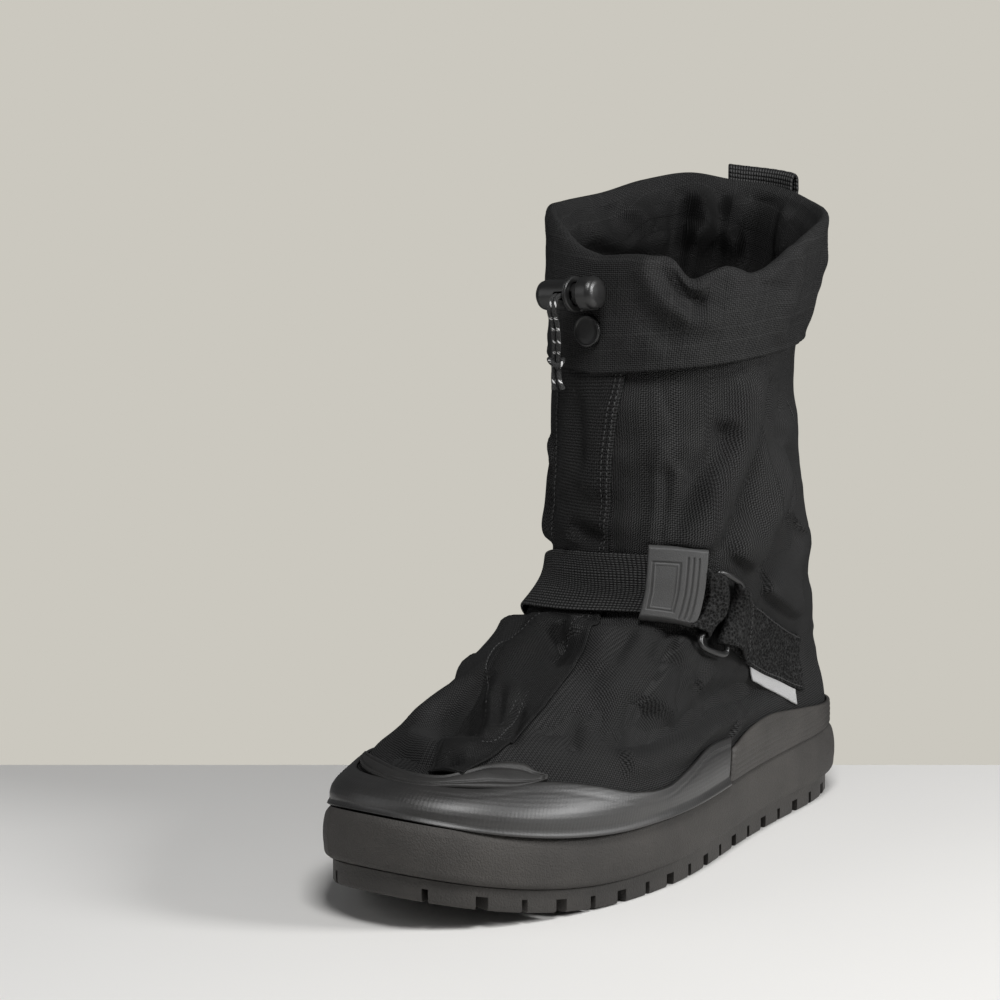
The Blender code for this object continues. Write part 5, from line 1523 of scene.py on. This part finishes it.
# Its frame is three steps: height, from and to along the tab, and half its height across
tab = {"height": 3.2, "frame": ((-0.55, 2.3, 14.8, 12.6), (0.55, 3.3, 13.8, 11.6), (-0.35, 3.9, 13.2, 11.0)),
       "soft": 0.28, "grooves": (17.6, 20.1, 22.6), "grooveDepth": 0.7, "grooveWidth": 0.42,
       "grooveEnds": (15.6, 15.2), "crown": 0.25, "crownHalf": 17.0, "shift": 1.3, "stiffness": 0.75}


def makeTab():
    # moulded pad: a framed field sunk into its face and three grooves behind it, then bent
    # less than the cloth below it, as a stiff pad would be
    length = strap["tabEnd"] - strap["tabStart"]
    along, riseAlong = edgeSteps(length, 110, 0.9)
    across, riseAcross = edgeSteps(strap["tabWidth"], 84, 0.9)
    bottom = strap["lift"] + strap["thickness"] + strap["gap"]
    x = along[:, None]
    y = (across - strap["tabWidth"] / 2)[None, :] + tab["shift"] - strapDrop(strap["tabStart"] + x)

    lift = np.full((len(along), len(across)), tab["height"])
    for step, x0, x1, half in tab["frame"]:
        inside = np.minimum(np.minimum(x - x0, x1 - x), half - np.abs(y))
        lift = lift + step * smoothStep(-tab["soft"], tab["soft"], inside)
    for groove in tab["grooves"]:
        side = smoothStep(*tab["grooveEnds"], np.abs(y))
        lift = lift - tab["grooveDepth"] * hump(x, groove, tab["grooveWidth"]) * side
    crown = tab["crown"] * (1 - (y / tab["crownHalf"]) ** 2)
    rise = np.minimum(riseAlong[:, None], riseAcross[None, :])
    top = onStrap(strap["tabStart"] + x, y, bottom + (lift + crown) * rise)
    under = onStrap(strap["tabStart"] + x + 0 * y, y + 0 * x, np.full(lift.shape, bottom))
    share = ((across - across[0]) / (across[-1] - across[0]))[None, :, None]
    chord = under[:, :1] * (1 - share) + under[:, -1:] * share
    middle = under.shape[1] // 2
    sagitta = (under[:, middle] - chord[:, middle])[:, None]
    moved = tab["stiffness"] * (chord + tab["stiffness"] * sagitta - under)
    top, under = top + moved, under + moved
    piece = sheetObject("strapTab", top, under, gridUv(x, y))
    return dress(piece, tabRubber, nodes=["strap_tab"])


def arcPlaces(centre, radius, start, end, steps):
    # places on an arc, its angles in degrees
    angles = np.radians(np.linspace(start, end, steps + 1))
    return [(centre[0] + radius * math.cos(a), centre[1] + radius * math.sin(a)) for a in angles]


def makeTail():
    # band from under the tab round the ring and back under itself
    radius = strap["ringBar"] / 2 + strap["clearance"] + strap["thickness"] / 2
    low, high = strap["ringLift"] - radius, strap["ringLift"] + radius
    front = strap["ringFront"]
    line = [(strap["tabEnd"] + 0.8, high - 0.8)] + [(front - back, high) for back in (5.0, 2.0)]
    line += arcPlaces((front, strap["ringLift"]), radius, 90, -90, 10)
    line += [(front - back, low) for back in (3.0, 7.0, 11.0)]
    line += [(strap["tabEnd"] - 3.0, strap["lift"] + 0.6), (strap["end"] + 2.5, strap["lift"] + 0.7)]
    piece = ribbonObject("strapTail", line, strap["tailWidth"] / 2)
    return dress(piece, loopCloth, nodes=["strap_tail"])


def makeRing():
    # rectangular plastic ring: a rounded bar on a path with round corners
    half, corner = strap["ringLength"] / 2 - 0.6, 2.5
    straight = np.linspace(-half + corner, half - corner, 30)
    front, back = strap["ringFront"], strap["ringBack"]
    places = [(front, across) for across in straight]
    places += arcPlaces((front + corner, half - corner), corner, 175, 95, 8)
    places += [(x, half) for x in np.linspace(front + corner + 0.8, back - corner - 0.8, 8)]
    places += arcPlaces((back - corner, half - corner), corner, 85, 5, 8)
    places += [(back, -across) for across in straight]
    places += arcPlaces((back - corner, corner - half), corner, -5, -85, 8)
    places += [(x, -half) for x in np.linspace(back - corner - 0.8, front + corner + 0.8, 8)]
    places += arcPlaces((front + corner, corner - half), corner, -95, -175, 8)
    path = np.array([onStrap(along, across - 1.4, strap["ringLift"]) for along, across in places])
    rolled = np.concatenate((path[-3:], path, path[:3]))
    grid = tubeGrid(rolled, strap["ringBar"] / 2, 20)[3:-3]
    uv = tubeUv(np.concatenate((path, path[:1])), 8.0, 20)
    piece = meshObject("strapRing", grid, gridQuads(len(path), 20, True, True), cellUv(uv), tidy=True)
    return dress(piece, lockPlastic, nodes=["ring"])


def makeAnchor():
    # loop round the ring, sewn down over a patch that narrows to its end
    radius = strap["ringBar"] / 2 + strap["clearance"] + strap["thickness"] / 2
    low, high = strap["gap"] + strap["thickness"] / 2, strap["ringLift"] + radius
    over, under = low + strap["thickness"] + strap["gap"], strap["ringLift"] - radius
    back = strap["ringBack"]
    line = [(back + x, over + (high - over) * (1.0 - float(smoothStep(3.0, 14.0, x))))
            for x in (17.0, 13.0, 9.0, 6.0, 3.0)]
    line += arcPlaces((back, strap["ringLift"]), radius, 90, 270, 12)
    line += [(back + x, under + (low - under) * float(smoothStep(2.0, 14.0, x)))
             for x in (3.0, 6.0, 10.0, 14.0)]
    line += [(along, low) for along in np.linspace(back + 20.0, strap["anchorEnd"], 12)]
    line = evenRoute(line, 0.5)
    share = smoothStep(back, strap["anchorEnd"], line[:, 0])
    half = (strap["anchorFront"] + (strap["anchorBack"] - strap["anchorFront"]) * share) / 2
    length, across = runLength(line), bandAcross(44)
    rng = np.random.default_rng(12)
    fuzz = rng.random((len(line), len(across)))
    sewn = smoothStep(back + 16.0, back + 19.0, line[:, 0])
    inside = sewn[:, None] * smoothStep(0.88, 0.80, np.abs(across))
    relief = 0.45 * (fuzz - 0.4) * inside + 0.175 * hump(np.abs(across), 0.86, 0.05)
    side = half[:, None] * across
    top, bottom = bandFaces(line, across, relief, lambda along, lift: onStrap(along, side, lift))
    piece = sheetObject("ringAnchor", bottom, top, gridUv((across[None, :] + 1) * 12.5, length[:, None]))
    return dress(piece, loopCloth, nodes=["ring_anchor"])


def anchorSeams():
    # one row where the loop is sewn down, and one along each side of the patch
    rows = {"anchorSeam": (np.full(60, 87.5), np.linspace(-10.8, 10.8, 60), np.full(60, 6.6))}
    for name, side in (("anchorEdgeUp", 1.0), ("anchorEdgeLow", -1.0)):
        along = np.linspace(97.0, 148.5, 200)
        half = np.interp(along, (79.0, 150.0), (strap["anchorFront"], strap["anchorBack"])) / 2
        rows[name] = (along, side * (half - 1.4), np.full(200, 2.15))
    for name, (along, across, lift) in rows.items():
        points = onStrap(along, across, lift)
        normals = onStrap(along, across, lift + 1.0) - points
        makeStitches(name, points, normals, stitches["anchor"])


def makeLabel():
    # small soft label beside the patch, waved at its free edge
    wide = strap["labelWidth"]
    along, riseAlong = edgeSteps(strap["labelEnd"] - strap["labelStart"], 60, 0.4)
    across, riseAcross = edgeSteps(wide, 16, 0.4)
    rise = np.minimum(riseAlong[:, None], riseAcross[None, :])
    wave = 0.25 * np.sin(along / 28.0 * 2 * np.pi)[:, None] * smoothStep(0.0, 6.0, wide - across)[None, :]
    top, bottom = (onStrap(strap["labelStart"] + along[:, None], strap["labelSide"] + across[None, :], lift)
                   for lift in (0.5 + 0.7 * rise + wave, 0.5 + wave))
    piece = sheetObject("sideLabel", top, bottom, gridUv(along[:, None], across[None, :]))
    return dress(piece, labelCloth, nodes=["side_label"])


def makePullLoop():
    # folded webbing behind the cuff: the two ends sewn on, the fold above the rim
    seat, middle = pullLoop["seat"] + strap["thickness"] / 2, pullLoop["turn"]
    line = [(level, float(cuffLift(middle, level)) + seat) for level in (240.0, 249.0, 258.0, 266.0, 273.0)]
    top = line[-1][1]
    line += [(level, top + out) for level, out in ((277.6, 0.2), (281.2, 0.9), (282.8, 2.6), (281.8, 4.4),
                                                   (277.6, 5.1))]
    line += [(level, float(cuffLift(middle, level)) + seat + apart)
             for level, apart in ((272.0, 5.2), (264.0, 4.4), (256.0, 3.0), (247.0, 2.0), (240.0, 1.9))]
    line = evenRoute(line, 0.45)
    length, across = runLength(line), bandAcross(40)
    relief = bandRibs(length, (across + 1) * 8.0) * bandEdge(across)[None, :]
    turn = middle + pullLoop["halfTurn"] * across[None, :]
    faces = bandFaces(line, across, relief, lambda level, lift: onUpper(turn, level, lift))
    piece = sheetObject("pullLoop", *faces, gridUv((across[None, :] + 1) * 14.0, length[:, None]))
    return dress(piece, webbingCloth, nodes=["pull_loop"])


makeStrap()
makeTab()
makeTail()
makeRing()
makeAnchor()
makeLabel()
makePullLoop()
print("stage: strap parts made")

# Cord lock, eyelet and snap, turned about an axis
lock = {"centre": (-11.2, -121.0, 243.0), "tilt": 6.0, "radius": 6.5, "length": 18.0, "wall": 1.6,
        "slotFromMouth": 4.9, "slotLength": 5.4, "slotHeight": 3.6, "travel": 3.0, "headRadius": 7.2}


def roundedProfile(profile, corner=0.35):
    # a profile with each corner cut by a short arc, so that edges catch the light
    points = [np.array(place, dtype=float) for place in profile]
    out = [points[0]]
    for before, here, after in zip(points, points[1:], points[2:]):
        back, ahead = before - here, after - here
        reach = min(corner, 0.4 * np.linalg.norm(back), 0.4 * np.linalg.norm(ahead))
        start = here + back / np.linalg.norm(back) * reach
        end = here + ahead / np.linalg.norm(ahead) * reach
        for t in np.linspace(0.0, 1.0, 4):
            out.append(start * (1 - t) ** 2 + here * 2 * t * (1 - t) + end * t ** 2)
    out.append(points[-1])
    return np.array(out)


def turnedObject(name, profile, matrix, closedLoop=False):
    # circle of each (x, radius) place about the x axis, then placed by the matrix
    segments = 72
    angle = np.arange(segments) * 2 * np.pi / segments
    grid = np.stack((np.repeat(profile[:, 0:1], segments, axis=1), profile[:, 1:2] * np.cos(angle),
                     profile[:, 1:2] * np.sin(angle)), axis=-1)
    turn = np.array(matrix.to_3x3())
    grid = grid @ turn.T + np.array(matrix.translation) / mm
    quads = gridQuads(len(profile), segments, closedLoop, True)
    last = (len(profile) - 1) * segments
    caps = [] if closedLoop else [list(range(segments)), [last + k for k in range(segments)][::-1]]
    return meshObject(name, grid, quads, None, caps, sharp=42, tidy=True)


def lockMatrix():
    # place and tilt of the lock, whose axis is x
    place = Matrix.Translation(Vector(lock["centre"]) * mm)
    return place @ Matrix.Rotation(-math.radians(lock["tilt"]), 4, "Y")


def slotCut(target, centreX, length):
    # straight slot across the lock for the two strands
    matrix = lockMatrix()
    half = Vector((length / 2, 15.0, lock["slotHeight"] / 2)) * mm
    work = bmesh.new()
    bmesh.ops.create_cube(work, size=2.0, matrix=matrix @ Matrix.Translation((centreX * mm, 0, 0))
                          @ Matrix.Diagonal((*half, 1.0)))
    bmesh.ops.bevel(work, geom=[e for e in work.edges], offset=0.5 * mm, segments=3, affect="EDGES")
    mesh = bpy.data.meshes.new("slotBlock")
    work.to_mesh(mesh)
    work.free()
    cutter = bpy.data.objects.new("slotBlock", mesh)
    bpy.context.scene.collection.objects.link(cutter)
    step = target.modifiers.new("slot", "BOOLEAN")
    step.object, step.operation, step.solver = cutter, "DIFFERENCE", "EXACT"
    graph = bpy.context.evaluated_depsgraph_get()
    carved = bpy.data.meshes.new_from_object(target.evaluated_get(graph))
    target.modifiers.clear()
    target.data = carved
    carved.shade_smooth()
    carved.set_sharp_from_angle(angle=math.radians(42))
    bpy.data.objects.remove(cutter)


def makeLock():
    # barrel with a flared mouth and the plunger in it, both with a slot for the cord
    half, radius, bore = lock["length"] / 2, lock["radius"], lock["radius"] - lock["wall"]
    barrel = turnedObject("lockBarrel", roundedProfile((
        (-half + 2.2, 3.0), (-half, 3.0), (-half, 4.6), (-half + 1.2, radius - 0.5), (-half + 3.0, radius),
        (half - 2.4, radius), (half - 2.0, radius + 1.1), (half - 1.35, radius + 1.2),
        (half - 1.2, radius + 0.75), (half - 1.05, radius + 1.2), (half - 0.4, radius + 1.2),
        (half, radius + 0.8), (half, bore),
        (half - 1.0, bore), (-half + 3.0, bore), (-half + 2.2, 3.0))), lockMatrix(), closedLoop=True)
    slotCut(barrel, half - lock["slotFromMouth"], lock["slotLength"])
    dress(barrel, lockPlastic, nodes=["lock_barrel"])
    stem, end, head = bore - 0.35, half + 3.8, lock["headRadius"]
    plunger = turnedObject("lockPlunger", roundedProfile((
        (-half + 6.6, 0.05), (-half + 6.6, stem - 1.0), (-half + 7.2, stem), (end, stem), (end, head - 0.6),
        (end + 0.6, head), (end + 5.6, head), (end + 7.3, head - 1.0), (end + 8.0, head - 2.6),
        (end + 8.3, 1.6), (end + 8.3, 0.05)), corner=0.7), lockMatrix())
    slotCut(plunger, half - lock["slotFromMouth"] + lock["travel"] / 2, lock["slotLength"] + lock["travel"])
    dress(plunger, lockPlastic, body="plunger", nodes=["lock_plunger"])


def discMatrix(turn, level):
    # on the cuff with its axis along the outward normal
    place = onUpper(turn, level, cuffLift(turn, level) + 0.4)
    normal = normalAt(turn, level)
    turned = Vector((1, 0, 0)).rotation_difference(Vector(normal)).to_matrix().to_4x4()
    return Matrix.Translation(Vector(place) * mm) @ turned


def makeDisc(name, turn, level, profile, closed, node):
    # a small turned part on the cuff
    piece = turnedObject(name, roundedProfile(profile, corner=0.3), discMatrix(turn, level),
                         closedLoop=closed)
    return dress(piece, lockPlastic, nodes=[node])


makeLock()
makeDisc("cordEyelet", -0.0155, 249.5, ((0.0, 2.6), (0.0, 4.6), (0.5, 5.2), (1.0, 4.6), (1.0, 2.6),
                                        (0.0, 2.6)), True, "eyelet")
makeDisc("cuffSnap", -0.006, 231.5, ((0.0, 0.05), (0.0, 6.6), (0.5, 6.8), (1.2, 6.8), (1.7, 6.5), (1.75, 6.0),
                                     (1.35, 5.5), (1.05, 4.0), (0.9, 0.05)), False, "snap")
print("stage: lock, eyelet and snap made")


# Felted board in the boot: rings from its underside to its face, as (share inwards, height)
insole = {"inset": 8.0, "columns": 240,
          "rings": ((1.0, 32.8), (0.5, 32.8), (0.06, 32.8), (0.0, 33.2), (0.0, 34.4), (0.02, 34.9),
                    (0.06, 34.6), (0.1, 35.0), (0.3, 35.0), (0.6, 34.9), (1.0, 34.9))}


def makeInsole():
    # rings moved from the sole's outline to its spine, with a pressed line near the edge
    count = insole["columns"]
    plan = soleRing(insole["inset"], 0.0, np.arange(count) / count)[:, :2]
    grid = np.array([towardSpine(plan, soleSpine(plan), share, height) for share, height in insole["rings"]])
    uv = np.stack(np.broadcast_arrays(np.linspace(0, 0.7, count + 1)[None, :],
                                      np.arange(len(grid))[:, None] * 0.01), axis=-1)
    piece = meshObject("insoleBoard", grid, gridQuads(len(grid), count, False, True), cellUv(uv), tidy=True)
    return dress(piece, feltBoard, nodes=["insole"])


makeInsole()


stitches = {"flap": {"pitch": 2.6, "length": 1.9, "radius": 0.27},
            "rand": {"pitch": 2.5, "length": 1.8, "radius": 0.24},
            "anchor": {"pitch": 2.0, "length": 1.4, "radius": 0.26}}


def makeStitches(name, points, normals, settings):
    # a row of short threads: small capsules lying along a line, sunk by half their thickness
    length = runLength(points)
    count = int(length[-1] / settings["pitch"])
    middles = (np.arange(count) + 0.5) * settings["pitch"]
    starts = readRows(middles - settings["length"] / 2, length, points)
    ends = readRows(middles + settings["length"] / 2, length, points)
    out = readRows(middles, length, normals)
    out /= np.linalg.norm(out, axis=1, keepdims=True)
    run = ends - starts
    run /= np.linalg.norm(run, axis=1, keepdims=True)
    side = np.cross(out, run)
    shares = np.array((0.0, 0.1, 0.35, 0.65, 0.9, 1.0))
    swell = np.array((0.25, 0.75, 1.0, 1.0, 0.75, 0.25)) * settings["radius"]
    sink = np.array((-0.9, -0.25, 0.15, 0.15, -0.25, -0.9)) * settings["radius"]
    angle = np.arange(6) * np.pi / 3
    centre = starts[:, None] * (1 - shares[None, :, None]) + ends[:, None] * shares[None, :, None]
    centre = centre + out[:, None] * sink[None, :, None]
    rings = centre[:, :, None] + swell[None, :, None, None] * (
        side[:, None, None] * np.cos(angle)[None, None, :, None]
        + out[:, None, None] * np.sin(angle)[None, None, :, None])
    one = gridQuads(6, 6, False, True)
    quads = (one[None] + (np.arange(count) * 36)[:, None, None]).reshape(-1, 4)
    caps = []
    for number in range(count):
        caps.append([number * 36 + k for k in range(6)][::-1])
        caps.append([number * 36 + 30 + k for k in range(6)])
    piece = meshObject(name, rings.reshape(-1, 3), quads, None, caps)
    return dress(piece, threadCloth)


def upperRow(turns, levels, lift):
    # points and normals of a seam's line over the upper
    turns, levels = np.asarray(turns, dtype=float), np.asarray(levels, dtype=float)
    return onUpper(turns, levels, lift), normalAt(turns, levels)


seamLines = {
    "flapSeamInner": ((-0.037, 252), (-0.036, 206), (-0.036, 170), (-0.040, 135), (-0.036, 118), (-0.022, 91),
                      (0.008, 80), (0.022, 73), (0.027, 68), (0.027, 64), (0.022, 61), (0.019, 58)),
    "flapSeamOuterA": ((0.036, 252), (0.033, 208), (0.020, 170), (0.011, 133), (0.016, 112), (0.026, 95),
                       (0.038, 79), (0.043, 72), (0.043, 67), (0.035, 64), (0.029, 61)),
    "flapSeamOuterB": ((0.030, 252), (0.027, 208), (0.014, 170), (0.005, 133), (0.010, 112), (0.019, 95),
                       (0.031, 82), (0.036, 76), (0.039, 70)),
    "flapSeamEdge": ((-0.072, 252), (-0.074, 205), (-0.077, 170), (-0.079, 133)),
}


def seamRows():
    # stitches along the flap's seams and the rand's border
    for name, places in seamLines.items():
        rows = np.column_stack((np.arange(len(places)), np.array(places, dtype=float)))
        line = smoothRows(rows, np.linspace(0.0, len(places) - 1.0, 900))
        turn, level = line[:, 0], line[:, 1]
        points, normals = upperRow(turn, level, flapBase(turn, level) + flap["top"] + 0.12)
        makeStitches(name, points, normals, stitches["flap"])
    turn = np.linspace(-0.281, 0.281, 1400)
    points, normals = upperRow(turn, bandTop(turn) - 2.6, np.full(turn.shape, 2.05))
    makeStitches("randSeam", points, normals, stitches["rand"])


seamRows()
anchorSeams()
print("stage: stitches made")

stageSettings = {"floor": (0.80, 0.79, 0.77, 1.0), "seen": (0.597, 0.577, 0.521, 1.0),
                 "ambient": (0.75, 0.77, 0.80, 1.0), "ambientStrength": 0.07,
                 "backEdge": 0.146, "aim": (0.0, -0.09, 0.14),
                 "lights": (("keySoftbox", 0.45, 15.0, (0.1, -0.75, 1.3)),
                            ("sideSoftbox", 0.45, 20.0, (1.4, -0.45, 0.8)),
                            ("leftSoftbox", 0.9, 2.5, (-1.2, -0.4, 0.6)))}


def makeLight(name, size, power, place, target):
    # a square softbox at a place, turned to its target
    data = bpy.data.lights.new(name, "AREA")
    data.shape, data.size, data.size_y, data.energy = "RECTANGLE", size, size, power
    light = bpy.data.objects.new(name, data)
    light.location = Vector(place)
    light.rotation_mode = "QUATERNION"
    light.rotation_quaternion = (Vector(target) - Vector(place)).to_track_quat("-Z", "Y")
    bpy.context.scene.collection.objects.link(light)


def makeStage(settings):
    # pale shelf whose back edge stands square to the view, and a warm grey backdrop
    turned = math.radians(cameraView["azimuth"])
    ahead = Vector((-math.sin(turned), math.cos(turned), 0.0))
    side = Vector((ahead.y, -ahead.x, 0.0))
    base = Vector((cameraView["target"][0], cameraView["target"][1], 0.0))
    far, near, wide = settings["backEdge"], -1.0, 1.4
    corners = [base + ahead * far - side * wide, base + ahead * far + side * wide,
               base + ahead * near + side * wide, base + ahead * near - side * wide]
    points = [tuple(c) for c in corners] + [(c.x, c.y, -0.03) for c in corners]
    mesh = bpy.data.meshes.new("shelf")
    mesh.from_pydata(points, [], [(3, 2, 1, 0), (4, 5, 6, 7)] + [
        (k, (k + 1) % 4, (k + 1) % 4 + 4, k + 4) for k in range(4)])
    work = bmesh.new()
    work.from_mesh(mesh)
    bmesh.ops.recalc_face_normals(work, faces=work.faces)
    work.to_mesh(mesh)
    work.free()
    shelf = bpy.data.objects.new("shelf", mesh)
    bpy.context.scene.collection.objects.link(shelf)
    material, tree, shader, places = startMaterial("shelfPaint", {"roughness": 0.55, "specular": 0.3})
    noise = textureNode(tree, "Noise", places["Object"], Scale=6.0)
    pale = settings["floor"]
    dull = tuple(0.97 * part for part in pale[:3]) + (1.0,)
    tree.links.new(mixColour(tree, noise, dull, pale), shader["Base Color"])
    shelf.data.materials.append(material)
    world = bpy.data.worlds.new("studio")
    world.use_nodes = True
    tree = world.node_tree
    back = tree.nodes["Background"]
    seen = addNode(tree, "ShaderNodeLightPath").outputs["Is Camera Ray"]
    tree.links.new(mixColour(tree, seen, settings["ambient"], settings["seen"]), back.inputs[0])
    tree.links.new(mathNode(tree, "MULTIPLY_ADD", seen, 1.0 - settings["ambientStrength"],
                            settings["ambientStrength"]), back.inputs[1])
    bpy.context.scene.world = world
    for name, size, power, (across, along, up) in settings["lights"]:
        place = base + side * across + ahead * along + Vector((0, 0, up))
        makeLight(name, size, power, place, settings["aim"])


makeStage(stageSettings)
scene = bpy.context.scene
scene.view_settings.view_transform = "Standard"
print("stage: shelf and lights made")

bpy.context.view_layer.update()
counts = {o.name: sum(len(p.vertices) - 2 for p in o.data.polygons)
          for o in bpy.data.objects if o.type == "MESH"}
print("triangles in all:", sum(counts.values()), "most:", sorted(counts.items(), key=lambda c: -c[1])[:14])
